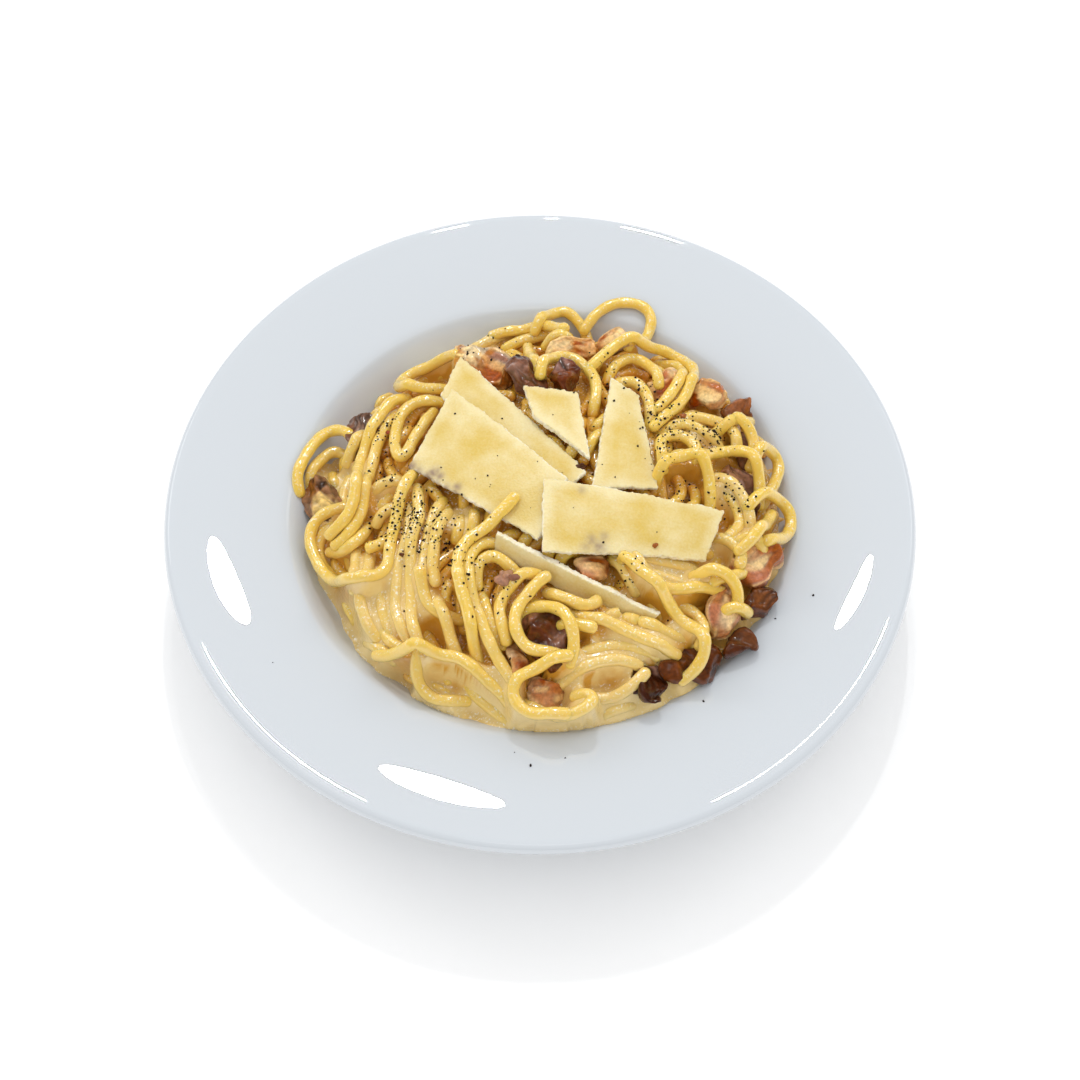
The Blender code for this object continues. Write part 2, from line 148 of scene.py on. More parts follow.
# Strands that lie on top, in the order they fall: how creamy, lift at the start, middle and
# end, and the route as (x, y) in millimetres.
LEFT = (
    (0.5, (0, 0, 0), ((-57.5, -53), (-55, -56), (-52, -58.5), (-48, -61))),
    (0.4, (0, 0, 0), ((-61, -40.5), (-57, -45), (-54, -49), (-50, -55), (-46, -59), (-39, -64))),
    (0.5, (0, 0, 0), ((-60, -34), (-60.5, -39), (-60, -43), (-57, -51), (-54, -54))),
    (0.5, (0, 0, 0), ((-52, -28), (-52.5, -34), (-53, -41), (-52, -47), (-49, -53))),
    (0.6, (0, 0, 0), ((-62.5, -18), (-62.5, -23), (-62.5, -28), (-62.5, -34), (-62, -39))),
    (0.6, (0, 0, 0), ((-58, -22), (-57.5, -27), (-58, -33), (-58.5, -38))),
    (0.2, (0, 0, 0), (
        (-70, -7.5), (-73.5, -8.5), (-76, -11), (-77, -15), (-76.5, -20), (-73.5, -25), (-70, -29),
    )),
    (0.3, (0, 0, 0), (
        (-72.5, -18.5), (-68.5, -21.5), (-64.5, -21.5), (-61.5, -19.5), (-60, -16.5), (-59, -12),
    )),
    (0.6, (0, 0, 0), ((-56, -13), (-53, -10.5), (-50.5, -9.5), (-48, -9.5))),
    (0.5, (0, 0, 0), ((-59, -1.5), (-57, 0), (-53.5, 1), (-50, 1.5), (-46.5, 1))),
    (0.7, (0, 0, 0), (
        (-44.5, -8), (-44, -14), (-44, -19), (-45, -24), (-46.5, -29), (-47.5, -34), (-47.7, -38.5),
        (-48, -43), (-47.5, -47.5), (-46, -52), (-44, -56), (-41.5, -59.5),
    )),
    (0.5, (0, 0, 0), (
        (-42, -2.5), (-41.5, -7), (-41, -11.5), (-40.5, -15), (-41, -18), (-42.5, -22),
        (-43.2, -26), (-43, -31), (-43, -36.5), (-42.5, -42), (-42.5, -47), (-42, -52.5),
        (-40.5, -57), (-39, -61),
    )),
    (0.5, (0, 0, 1), (
        (-33, -8), (-35.5, -14), (-36.7, -19), (-37.7, -24), (-38.3, -29), (-38.6, -33),
        (-39, -36.5),
    )),
    (0.5, (0, 0, 0), (
        (-31, -13), (-32.5, -17), (-34, -20.5), (-35, -25), (-35.3, -30), (-35.5, -35),
        (-34.5, -40),
    )),
    (0.2, (0, 0, 0), (
        (-39.5, -37), (-39, -40.5), (-37.5, -45), (-35.5, -48), (-32.5, -50), (-29, -51),
        (-26, -51),
    )),
    (0.1, (1, 0, 0), ((-57.5, -24), (-54.5, -23), (-52, -21.5), (-50, -19))),
    (0.2, (0, 0, 0), ((-82, 10), (-82, 15), (-79, 21), (-76, 25), (-73, 26), (-70, 24))),
    (0.0, (0, 1, 0), ((-85, 6), (-86, 11), (-84, 19), (-81, 26), (-77, 32), (-72, 32), (-68, 28))),
    (0.3, (0, 0, 0), ((-69, 17), (-66, 22), (-64, 26), (-62, 27))),
    (0.1, (0, 1, 0), (
        (-62, -2), (-67, -3.5), (-71, -4.5), (-75, -5.5), (-78, -8), (-79.5, -11.5), (-79.5, -16),
        (-78, -20), (-75.5, -25.5), (-72, -30.5), (-68, -34.5), (-63.5, -37.5), (-59, -38),
        (-55, -37), (-52, -34.5), (-50.5, -31.5), (-50.5, -28), (-50, -23), (-49, -18), (-48, -12),
        (-47, -7), (-45, -2.5), (-43.5, 2),
    )),
    (0.2, (0, 0, 0), (
        (-50, 38), (-53, 33), (-55, 28), (-57, 21), (-58.5, 14), (-59.5, 6), (-60, 0), (-60.5, -6),
        (-62, -12), (-66, -18), (-70, -20),
    )),
    (0.1, (0, 0, 1), (
        (-48, 42), (-53, 39), (-56, 34), (-59, 28), (-61.5, 21), (-63, 15), (-63.5, 8), (-63, 2),
        (-63, -4), (-64, -9), (-66, -13), (-69, -15), (-72, -17),
    )),
    (0.2, (0, 0, 0), (
        (-34.5, 38), (-40.5, 38), (-45, 37.5), (-48, 35), (-50, 31), (-51, 22), (-50.5, 15),
        (-48, 10), (-46, 13), (-44.5, 18), (-42, 23), (-39.5, 29), (-38, 33),
    )),
    (0.1, (0, 1, 0), (
        (-33, 45), (-40, 44), (-46, 44), (-50, 46), (-52, 50), (-51, 54), (-47, 58), (-43, 59),
        (-39, 60), (-33, 60), (-30, 58),
    )),
)
FRONT = (
    (0.9, (0, 0, -1), ((20, -81), (24, -80), (28, -78.6), (31, -77))),
    (0.8, (0, 0, 0), ((14, -67.5), (19, -66), (24, -65), (29, -64.8), (34, -65.5))),
    (0.9, (0, 0, 0), (
        (6.5, -73.5), (8.5, -72.5), (11.5, -71), (15, -69.8), (19, -68.3), (23, -67.3), (27.5, -67),
        (32, -67.5),
    )),
    (0.5, (0, 0, 0), (
        (11.5, -75), (15, -76.8), (19.6, -77.5), (24, -77), (28.3, -75.2), (32, -72.8), (34, -70.5),
    )),
    (0.6, (0, 0, 0), ((26.8, -55), (31, -56), (36, -57))),
    (0.6, (0, 0, 0), ((20.5, -53), (24, -52), (28.5, -51.3), (32.5, -51))),
    (0.3, (0, 0, 0), (
        (28, -53), (33, -55), (38.5, -56.5), (42.5, -57), (46.7, -57.3), (50, -58), (52.5, -59.5),
    )),
    (0.4, (0, 0, 0), (
        (10.6, -66), (14, -64.7), (18, -63.4), (22, -62.2), (26, -61.7), (30, -62), (34, -63),
        (38, -64),
    )),
    (0.3, (0, 0, 0), (
        (8, -50), (11.5, -52.5), (15, -54), (19.6, -55.2), (24, -56.7), (28.5, -58.7),
        (32.5, -60.3), (36, -62), (39, -63), (42, -63.5), (44.5, -63.5),
    )),
    (0.3, (0, 0, 0), (
        (2.3, -44), (6, -46.7), (9.6, -49), (13.2, -50.5), (16.5, -50), (18.8, -48), (19.6, -45.6),
        (18.4, -43), (15, -40.5),
    )),
    (0.1, (0, 0, 3), ((7, -56), (10, -56.8), (13.5, -57.6), (17, -58.6))),
    (0.2, (0, 0, 0), (
        (-20.5, -42), (-18.5, -46.5), (-17.7, -50.5), (-16, -54.5), (-14.5, -58), (-12.5, -61),
    )),
    (0.2, (0, 0, 0), (
        (-6.5, -38.5), (-8.5, -36.5), (-11.5, -34.5), (-14, -32.5), (-17, -32.5), (-20, -34),
        (-21, -37.5), (-20.5, -42),
    )),
    (0.2, (0, 0, 0), (
        (0, -38.5), (-3.5, -39), (-7, -41), (-10, -43.5), (-12, -46.5), (-13.3, -49.5), (-13, -53),
        (-12, -56.5), (-11, -61),
    )),
    (0.5, (0, 0, 0), (
        (-33.5, -46), (-31.5, -51.5), (-30, -55), (-29, -59), (-27, -63), (-25.5, -66.5),
    )),
    (0.3, (0, 0, 0), (
        (-12, -27), (-17, -26.5), (-20.5, -28.5), (-23, -32), (-23.8, -37), (-23, -43), (-22, -48),
        (-20, -53), (-18, -58), (-16, -62.5), (-13.5, -66.5), (-11, -70), (-9, -73),
    )),
    (0.1, (2, 1, 0), (
        (-8.5, -14), (-11, -17), (-13.5, -19.5), (-16, -22), (-18.5, -24), (-22, -26), (-25, -29.5),
        (-26.7, -34), (-27, -39), (-26, -45), (-24, -51), (-22.5, -56.5), (-21.5, -61.5),
        (-20, -65.5),
    )),
    (0.1, (0, 0, 0), (
        (-8, -54.5), (-5.5, -51), (-2.5, -50), (1, -50), (4, -51), (7, -53.7), (9, -57),
        (10.5, -60.5), (11, -63.5), (10.6, -66.5), (9.5, -69.5),
    )),
    (0.2, (0, 0, 0), (
        (2, -40.5), (-0.5, -42.5), (-3, -45.5), (-5, -48), (-7, -50.7), (-8, -54), (-8.3, -57),
        (-7.5, -60), (-5.7, -62.7), (-3, -65), (0.5, -66), (4, -66.5), (7.5, -67),
    )),
    (0.1, (0, 0, 0), (
        (-39.5, -62), (-40.4, -66), (-40.5, -68.5), (-39.4, -71), (-37, -73.5), (-34, -75.2),
        (-30.4, -76), (-26.7, -75.8), (-24, -75),
    )),
    (0.0, (0, 1, 0), (
        (-54, -60.5), (-49.5, -62.6), (-44, -63.5), (-40, -64), (-34, -64.5), (-29, -65.3),
        (-25, -67), (-21, -69.5), (-17, -72), (-13.5, -74.6), (-11, -77), (-8, -80),
    )),
    (0.3, (0, 0, 0), ((6, -80.8), (9, -81.5), (12.4, -81), (15, -79.7))),
    (0.3, (0, 0, 0), (
        (-5, -79.5), (-2, -82), (1, -83.2), (4.5, -84), (8, -84), (11, -83.3), (14, -81.8),
    )),
    (0.2, (0, 0, 0), (
        (5, -85), (9.5, -86), (13, -85.3), (16, -83.6), (17.2, -81.7), (16.5, -79.7), (14, -78.8),
        (11, -79.2),
    )),
    (0.0, (1, 0, 0), (
        (9.2, -68.3), (6, -69.3), (3, -70), (0, -71), (-3.2, -72), (-6, -73.5), (-8.2, -76),
        (-9, -78.5), (-8, -81), (-6, -83.5), (-2.7, -85.3), (1.2, -86.3), (5, -86.7), (8.5, -86.2),
    )),
)
RIGHT = (
    (0.8, (0, 0, 0), ((33, -36), (38, -37.5), (43, -38.5), (47, -40), (50, -41.5))),
    (0.6, (0, 0, 0), (
        (29, -31.5), (33, -32.3), (37.4, -32.4), (42.6, -32.5), (47.5, -33), (51.6, -34.2),
        (55, -36.5),
    )),
    (0.5, (0, 0, 0), ((24, -31), (26, -34), (28, -37.3), (29.5, -40), (31.5, -43))),
    (0.5, (0, 0, 0), ((29.5, -31), (31.5, -34), (33.5, -37.5), (36, -41), (38.5, -43.5))),
    (0.3, (0, 0, 0), (
        (43, -46.5), (46.3, -46.4), (49.3, -47.5), (52, -49.6), (53.4, -52.3), (53.7, -55),
        (53.2, -58), (52, -61),
    )),
    (0.1, (0, 0, 0), (
        (39, -43), (41, -44), (45, -43.6), (49.4, -42.8), (54, -41.8), (58, -41), (61.5, -41.5),
    )),
    (0.1, (1, 0, 0), ((68.7, -47.7), (66, -48.2), (63.3, -48.7), (60.5, -49))),
    (0.1, (1, 0, 0), ((68, -33.5), (65.5, -35.7), (62.7, -37.6), (60, -38.8), (56.5, -40))),
    (0.0, (1, 0, 0), (
        (50.5, -38), (54.2, -38), (58.3, -38.7), (61.7, -39.8), (64.3, -41.5), (65.5, -43.7),
        (65, -46),
    )),
    (0.1, (0, 1, 0), (
        (25, -31), (27.5, -34.5), (30.5, -38), (33.5, -41), (36.7, -43.7), (39.2, -46.2), (42, -49),
        (45, -52), (48, -54.7), (50.7, -57.3), (52.5, -60), (53.4, -62.5), (53.2, -65),
        (51.6, -67.6), (49, -69.7), (46, -71),
    )),
    (0.2, (0, 0, 0), (
        (58.5, -20), (60.5, -21.2), (63.6, -22.5), (65.7, -24.6), (67, -27), (67.4, -30),
        (66.5, -32.5),
    )),
    (0.1, (0, 0, 0), ((67, -24), (70.5, -22), (73.5, -23), (75, -25))),
    (0.2, (0, 0, 0), (
        (60.5, -1.5), (63, -3.2), (65.3, -5.6), (67, -8.2), (68, -11.4), (68, -15), (66, -18.7),
        (63.7, -21),
    )),
    (0.7, (0, 0, 0), (
        (58, 1.5), (60.6, 1.6), (63.3, 0), (66, -2), (68, -5), (69.8, -8.3), (70.8, -12),
        (71.4, -16), (71.2, -20),
    )),
    (0.4, (0, 0, 0), ((44, 7.5), (47, 9.7), (50.5, 10.3), (54, 9), (56.5, 6.5))),
    (0.3, (0, 0, 0), (
        (41.5, 20), (44.8, 21.8), (49, 23.8), (53, 23.4), (57, 21.5), (60, 19.7), (62.5, 18),
        (64, 15.5),
    )),
    (0.3, (0, 0, 0), (
        (50, 27), (54, 29), (60, 29), (65, 27.5), (67.5, 24.5), (69, 20), (69, 15.5),
    )),
    (0.0, (1, 0, 0), ((75.5, 33), (72, 30), (69, 27), (65.5, 24.5), (62, 23))),
    (0.1, (0, 0, 0), ((69, 27), (71.5, 25.5), (73.5, 23.5), (75, 19.5), (75, 15.5), (74, 12.5))),
    (0.0, (0, 2, 0), (
        (73, 8), (75.5, 12.5), (77.3, 15.6), (80.3, 17.5), (82.7, 17.6), (84.2, 15.4), (84.3, 12),
        (83, 8), (80.8, 3), (79, -0.7), (76.5, -4),
    )),
    (0.1, (0, 1, 0), (
        (42, 2.6), (42, 6.3), (41.4, 10), (41.2, 13), (42.5, 15.6), (45.3, 17.5), (48.5, 18),
        (51, 16.6), (53.2, 14), (54, 10.7), (54.2, 7),
    )),
    (0.0, (0, 1, 0), (
        (55.5, 6), (58.3, 9), (62, 11.6), (66, 12.8), (70, 11.8), (73, 9.2), (75, 5.4), (75.7, 1.2),
        (75.8, -2.5), (75.2, -6),
    )),
    (0.0, (0, 1, 0), (
        (38.5, -4), (40.5, 0), (43.5, 3), (47, 5), (50.6, 5.6), (53.8, 4.6), (56.3, 2), (57.7, -2),
        (58, -6), (58, -9.5), (57, -13),
    )),
    (0.0, (0, 2, 0), (
        (70.5, -11), (73, -8), (75.4, -5.4), (78.4, -3.5), (81.4, -3), (84.3, -3.4), (86.4, -5.3),
        (87, -8.6), (86.5, -12), (84.5, -15.6), (81.8, -19.2), (78.7, -21.8), (76, -23.5),
    )),
    (0.0, (6, 2, 0), (
        (79.6, -8.7), (78, -12.5), (76, -17.3), (73.7, -21.4), (71.2, -24.5), (69, -26.7),
        (66, -28.5),
    )),
    (0.3, (0, 0, 0), (
        (27, 42), (29.6, 43.5), (33.5, 43), (36, 41), (37.8, 36.6), (38.6, 32), (38.8, 27.5),
        (38.3, 22.5),
    )),
    (0.1, (0, 0, 0), (
        (44, 60.5), (49, 58), (51.5, 54), (51.5, 49), (50, 44), (47, 38.5), (43.5, 33), (41, 30),
    )),
    (0.1, (0, 0, 0), (
        (24, 46.5), (26, 51), (29, 55), (33, 57.7), (37, 56.3), (40, 52.3), (42, 46.3), (42.5, 42),
    )),
)
BACK = (
    (0.8, (0, 0, 0), ((-30, 66), (-24, 70), (-18, 74), (-11, 79), (-5, 80))),
    (0.2, (0, 0, 0), ((2, 66), (6, 68), (10, 66.5))),
    (0.2, (0, 0, 0), ((-13, 69), (-7, 71.5), (-2, 73.5), (3, 76), (7, 77), (11, 75.5))),
    (0.1, (0, 0, 0), ((-18, 75), (-12, 76.5), (-6, 77.5), (0, 78), (3, 76), (6, 73), (9, 70))),
    (0.2, (0, 0, 0), ((-4.5, 66), (-4, 60), (-2.5, 53), (-1, 48), (0.5, 44))),
    (0.0, (0, 3, 0), (
        (-2, 74), (0, 78), (2, 81), (4.5, 84), (8, 86), (12, 85), (14.5, 82), (17, 79), (18, 75),
    )),
    (0.2, (0, 0, 0), ((25, 59), (22, 56), (20, 53))),
    (0.1, (0, 0, 0), (
        (0, 42), (1, 47), (3.5, 51), (6, 54), (9.5, 55), (12.5, 54), (15.5, 51), (18, 47),
        (19.5, 42), (20, 38), (19.5, 33), (18.5, 28),
    )),
    (0.0, (0, 2, 0), (
        (16.5, 77), (18.5, 80), (21.5, 84), (25, 86.5), (29, 88), (33, 88), (37.3, 87),
        (40.5, 84.5), (42, 80), (41, 76), (39, 71.5), (35.5, 67), (32, 62),
    )),
    (0.0, (0, 0, 0), (
        (18, 49), (20.5, 51.5), (23.5, 55), (28, 59.5), (33, 61.8), (37, 62.5), (40.5, 62.7),
        (45, 64), (50, 62.2), (53.5, 59), (55.5, 53.5), (55.5, 47.7), (53.5, 41.7), (50, 34.8),
        (46, 29), (43, 25), (39.5, 21),
    )),
)
OVER_CHEESE = (-8.5, -14)  # the strand that starts here lies over a shaving
# Ends that lie on top in full view; the others dip out of sight
OPEN_ENDS = ((-8.5, -14.0), (-57.5, -24.0), (-39.0, -36.5), (-34.5, -40.0), (17.0, -58.6))

SMALLEST_GRAIN, GRAIN_RANGE = 0.22, 0.40  # radius of a grain of pepper, and how much larger some are
OFF_CHEESE = 0.8  # share of the grains that slid off the cheese
# Where pepper fell: (x, y), spread, number of grains
PEPPERED = (
    ((-45.0, -16.0), 9.0, 190), ((-36.0, -24.0), 9.0, 110), ((-52.0, 6.0), 8.0, 60),
    ((-54.0, 26.0), 9.0, 45), ((-24.0, -38.0), 9.0, 60), ((-12.0, -44.0), 7.0, 22),
    ((45.0, 22.0), 9.0, 130), ((60.0, 19.0), 7.0, 110), ((34.0, 38.0), 8.0, 60),
    ((48.0, -1.0), 7.0, 28), ((65.0, -6.0), 6.0, 60), ((40.0, 8.0), 5.0, 26),
    ((29.0, -38.0), 4.0, 22), ((22.0, 50.0), 7.0, 30), ((-10.0, 70.0), 9.0, 18),
    ((-24.0, 60.0), 7.0, 14), ((0.0, 0.0), 42.0, 150), ((-8.0, -95.0), 0.2, 1),
    ((8.0, -97.0), 0.2, 1), ((-3.0, -100.0), 0.2, 1), ((53.0, -77.0), 0.2, 1), ((92.0, -38.0), 0.2, 1),
)

# ---- stage: metres, degrees, and millimetres for the lens ---------------------------------------
CAMERA_PLACE = (0.0, -0.29875, 0.50179)
CAMERA_TILT = 31.18
CAMERA_LENS = 52.88
CAMERA_SENSOR = 36.0
TABLE_HALF = 3000.0  # in millimetres
# Large softboxes: name, place, width and height, and brightness beside the others
SOFTBOXES = (
    ("left", (-1.08, 0.87, 1.00), (0.62, 0.62), 1.4),
    ("right", (1.08, 0.87, 1.00), (0.62, 0.62), 0.9),
    ("above", (0.0, -0.50, 1.65), (0.62, 0.62), 0.6),
)
# Small lamps whose reflections make the glaze's three highlights: place, then width and height
STRIP_LIGHTS = (
    ((0.067, 1.036, 1.538), (0.034, 0.085)),
    ((-0.057, 1.040, 1.533), (0.018, 0.070)),
    ((0.010, 1.130, 1.416), (0.016, 0.036)),
)


# ---- small tools -----------------------------------------------------------------------------
def linear(hex_colour):
    """An sRGB hex colour as linear RGBA."""
    channels = (int(hex_colour[i : i + 2], 16) / 255.0 for i in (0, 2, 4))
    return (*(c / 12.92 if c <= 0.04045 else ((c + 0.055) / 1.055) ** 2.4 for c in channels), 1.0)


def plate_top(radius):
    """Height of the plate's inner surface at a radius, in millimetres."""
    rings, heights = zip(*PLATE_INSIDE)
    return np.interp(radius, rings, heights)


def heap_radius(x, y):
    """Radius of the heap's outline in the direction of a point."""
    return HEAP_RADIUS + HEAP_LEAN * np.cos(np.arctan2(y, x) - math.radians(HEAP_LEAN_TOWARDS))


def heap_top(x, y):
    """Height of the heap's dome above a point."""
    radius = heap_radius(x, y)
    edge = plate_top(radius) + HEAP_EDGE_RISE
    part = np.hypot(x, y) / radius
    return edge + (HEAP_PEAK - edge) * (1.0 - part**HEAP_POWER)


def creaminess(x, y):
    """How much sauce stands between the strands, from 0 to 1."""
    amount = THINNEST * np.ones_like(np.asarray(x, float))
    for (cx, cy), reach, strength in CREAMY:
        spot = strength * np.exp(-((x - cx) ** 2 + (y - cy) ** 2) / reach**2)
        amount = amount + spot * (1.0 - amount)
    return np.clip(amount, 0.0, 1.0)


def cell(value):
    """Number of the grid line nearest to a place."""
    return np.clip(np.rint((value + HALF) / CELL).astype(int), 0, GRID_SIZE - 1)


def ball_offsets(radius):
    """(steps in x, steps in y, distance) of the grid cells within a radius."""
    reach = int(math.ceil(radius / CELL))
    found = []
    for i in range(-reach, reach + 1):
        for j in range(-reach, reach + 1):
            distance = CELL * math.hypot(i, j)
            if distance < radius:
                found.append((i, j, distance))
    return found


def shifted(field, i, j, fill):
    """A grid moved by whole cells, with new cells filled."""
    moved = np.full_like(field, fill)
    size = GRID_SIZE
    moved[max(0, i) : size + min(0, i), max(0, j) : size + min(0, j)] = field[
        max(0, -i) : size + min(0, -i), max(0, -j) : size + min(0, -j)
    ]
    return moved


def widest(field, radius):
    """The greatest value of a grid within a radius of each cell."""
    best = field.copy()
    for i, j, _ in ball_offsets(radius):
        np.maximum(best, shifted(field, i, j, NOWHERE), out=best)
    return best


def blurred(field, rounds):
    """A grid smoothed by repeated averaging with its neighbours."""
    for _ in range(rounds):
        for axis in (0, 1):
            field = 0.5 * field + 0.25 * (np.roll(field, 1, axis) + np.roll(field, -1, axis))
    return field


def tree_of(objects):
    """One ray-casting tree, in millimetres, of several objects' meshes."""
    verts, faces = [], []
    for obj in objects:
        first = len(verts)
        verts += [tuple(v.co / MM) for v in obj.data.vertices]
        faces += [tuple(first + i for i in p.vertices) for p in obj.data.polygons]
    return BVHTree.FromPolygons(verts, faces)


def cast_heights(objects, upwards=False):
    """Highest points of the objects over the grid, or their lowest, and nothing elsewhere."""
    heights = np.full_like(GRID_X, -NOWHERE if upwards else NOWHERE)
    direction, start = (-DOWN, UNDER_ALL) if upwards else (DOWN, OVER_ALL)
    for obj in objects:
        tree = tree_of([obj])
        spots = np.array([vert.co for vert in obj.data.vertices]) / MM
        low, high = cell(spots.min(0)), cell(spots.max(0))
        for i in range(low[0], high[0] + 1):
            for j in range(low[1], high[1] + 1):
                hit = tree.ray_cast(Vector((GRID_LINE[i], GRID_LINE[j], start)), direction)[0]
                if hit is not None:
                    both = (heights[i, j], hit.z)
                    heights[i, j] = min(both) if upwards else max(both)
    return heights


def nodes_called(kind):
    """The frame's nodes of one kind, in number order."""
    names = [name for name in frame["nodes"] if name.startswith(kind + "_")]
    names.sort(key=lambda name: int(name.rsplit("_", 1)[1]))
    return [frame["nodes"][name] for name in names]


def new_object(name, bm, material, smooth=True):
    """Turns a bmesh in millimetres into an object in metres and frees it."""
    bmesh.ops.scale(bm, vec=(MM, MM, MM), verts=bm.verts)
    mesh = bpy.data.meshes.new(name)
    bm.to_mesh(mesh)
    bm.free()
    mesh.materials.append(material)
    if smooth:
        mesh.shade_smooth()
    obj = bpy.data.objects.new(name, mesh)
    bpy.context.scene.collection.objects.link(obj)
    return obj


def paint(obj, name, values):
    """Stores one number for each vertex, for the material to read."""
    layer = obj.data.attributes.new(name, "FLOAT", "POINT")
    layer.data.foreach_set("value", np.asarray(values, np.float32))


def serve(obj, slot, *nodes):
    """The piece rides on the dish and stands for the nodes named, which it hides. The slot is not used.
    """
    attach(obj, "root")
    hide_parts(*nodes)
    return obj


def add(tree, kind, links=None, **settings):
    """Adds a shader node, sets it up, and fills or links its inputs."""
    made = tree.nodes.new(kind)
    for name, value in settings.items():
        setattr(made, name, value)
    for name, value in (links or {}).items():
        if isinstance(value, bpy.types.NodeSocket):
            tree.links.new(value, made.inputs[name])
        else:
            made.inputs[name].default_value = value
    return made


def fill_in(shader, values):
    """Sets the shader's own sockets."""
    for name, value in values.items():
        shader.inputs[name].default_value = value


def new_material(name):
    """A material with its node tree cleared down to a Principled shader."""
    material = bpy.data.materials.new(name)
    material.use_nodes = True
    tree = material.node_tree
    return material, tree, tree.nodes["Principled BSDF"]


# ---- finishes --------------------------------------------------------------------------------
def lumpy(tree, where, scale, detail):
    """The normal of a sauce with soft lumps, at a scale in lumps a metre."""
    lumps = add(tree, "ShaderNodeTexNoise", {"Vector": where, "Scale": scale, "Detail": detail})
    raised = {"Height": lumps.outputs["Fac"], "Distance": 0.0004, "Strength": 0.6}
    return add(tree, "ShaderNodeBump", raised).outputs["Normal"]


def coating(tree, where, scale, detail, contrast, amount):
    """How far sauce covers a place: the amount painted there, broken up into patches."""
    patches = add(tree, "ShaderNodeTexNoise", {"Vector": where, "Scale": scale, "Detail": detail})
    spread = add(tree, "ShaderNodeMath", {0: patches.outputs["Fac"], 1: 0.5}, operation="SUBTRACT")
    covered = {0: spread.outputs[0], 1: contrast, 2: amount}
    covered = add(tree, "ShaderNodeMath", covered, operation="MULTIPLY_ADD", use_clamp=True)
    return covered.outputs[0]


def mixed(tree, factor, below, above):
    """One colour over another."""
    blend = {"Factor": factor, "A": below, "B": above}
    return add(tree, "ShaderNodeMix", blend, data_type="RGBA").outputs["Result"]


def wet_film(tree, shader, where):
    """A glossy film of sauce whose ripples, 1.2 mm apart, break the highlights into dashes."""
    tree.links.new(lumpy(tree, where, 800.0, 2.0), shader.inputs["Coat Normal"])
    fill_in(shader, {"Coat Weight": 1.0, "Coat IOR": 2.1, "Coat Roughness": 0.12})


def painted_glints(tree, where, colour):
    """The colour with white specks, about 0.4 mm across and 0.8 mm apart, on its upward-facing side:
    painted highlight glints, partly fine curds.
    """
    specks = add(tree, "ShaderNodeTexNoise", {"Vector": where, "Scale": 1250.0, "Detail": 1.0})
    only_peaks = {"Value": specks.outputs["Fac"], "From Min": 0.58, "From Max": 0.70, "To Max": 0.85}
    glint = add(tree, "ShaderNodeMapRange", only_peaks)
    facing = add(tree, "ShaderNodeNewGeometry").outputs["Normal"]
    height = add(tree, "ShaderNodeSeparateXYZ", {"Vector": facing}).outputs["Z"]
    upper = add(tree, "ShaderNodeMapRange", {"Value": height, "From Min": 0.5, "From Max": 0.95})
    # painted highlight: the specks show only where the surface faces upwards
    amount = add(tree, "ShaderNodeMath", {0: glint.outputs[0], 1: upper.outputs[0]}, operation="MULTIPLY")
    return mixed(tree, amount.outputs[0], colour, linear("FFF8E4"))


def glazed_porcelain(colour):
    """White vitreous porcelain under a clear fired glaze: cool white, mirror-like gloss."""
    material, _, shader = new_material("glazed_porcelain")
    fill_in(shader, {"Base Color": colour, "Roughness": 0.0, "IOR": 1.55})
    return material


def cooked_spaghetti(clean, creamy):
    """Boiled egg-yellow pasta wet with sauce: soft, a little translucent, speckled highlights."""
    material, tree, shader = new_material("cooked_spaghetti")
    where = add(tree, "ShaderNodeTexCoord").outputs["Object"]
    cream_and_shade = add(tree, "ShaderNodeAttribute", attribute_name="cream").outputs["Fac"]
    # patches of clinging sauce about 5 mm across
    colour = mixed(tree, coating(tree, where, 200.0, 3.0, 1.1, cream_and_shade), clean, creamy)
    # painted shade: strands lying deep in the heap are painted a darker, more saturated orange
    depth = add(tree, "ShaderNodeMath", {0: cream_and_shade, 1: -1.0}, operation="MULTIPLY", use_clamp=True)
    depth_shaded = mixed(tree, depth.outputs[0], colour, linear("E09A1E"))
    # painted highlight: white glints on the strands' upper sides
    tree.links.new(painted_glints(tree, where, depth_shaded), shader.inputs["Base Color"])
    # curds and grit in the sauce, about 0.9 mm across
    tree.links.new(lumpy(tree, where, 1100.0, 3.0), shader.inputs["Normal"])
    wet_film(tree, shader, where)
    fill_in(shader, {
        "Roughness": 0.40, "IOR": 1.6, "Subsurface Weight": 0.3,
        "Subsurface Radius": (1.0, 0.75, 0.3), "Subsurface Scale": 0.0012,
    })
    return material


def cream_sauce(deep, creamy):
    """Egg and cream sauce with painted white glints on its upper side, partly fine curds: pale and
    smooth where thick, oily amber where thin, and the same amber as painted shade where it lies deep
    between the strands.
    """
    material, tree, shader = new_material("cream_sauce")
    where = add(tree, "ShaderNodeTexCoord").outputs["Object"]
    cream = add(tree, "ShaderNodeAttribute", attribute_name="cream").outputs["Fac"]
    # thicker and thinner places about 8 mm across
    colour = mixed(tree, coating(tree, where, 120.0, 4.0, 0.9, cream), deep, creamy)
    # painted highlight: white glints on the sauce's upper side
    tree.links.new(painted_glints(tree, where, colour), shader.inputs["Base Color"])
    # lumps about 1.4 mm across
    tree.links.new(lumpy(tree, where, 700.0, 3.0), shader.inputs["Normal"])
    wet_film(tree, shader, where)
    fill_in(shader, {"Roughness": 0.35, "IOR": 1.40})
    return material


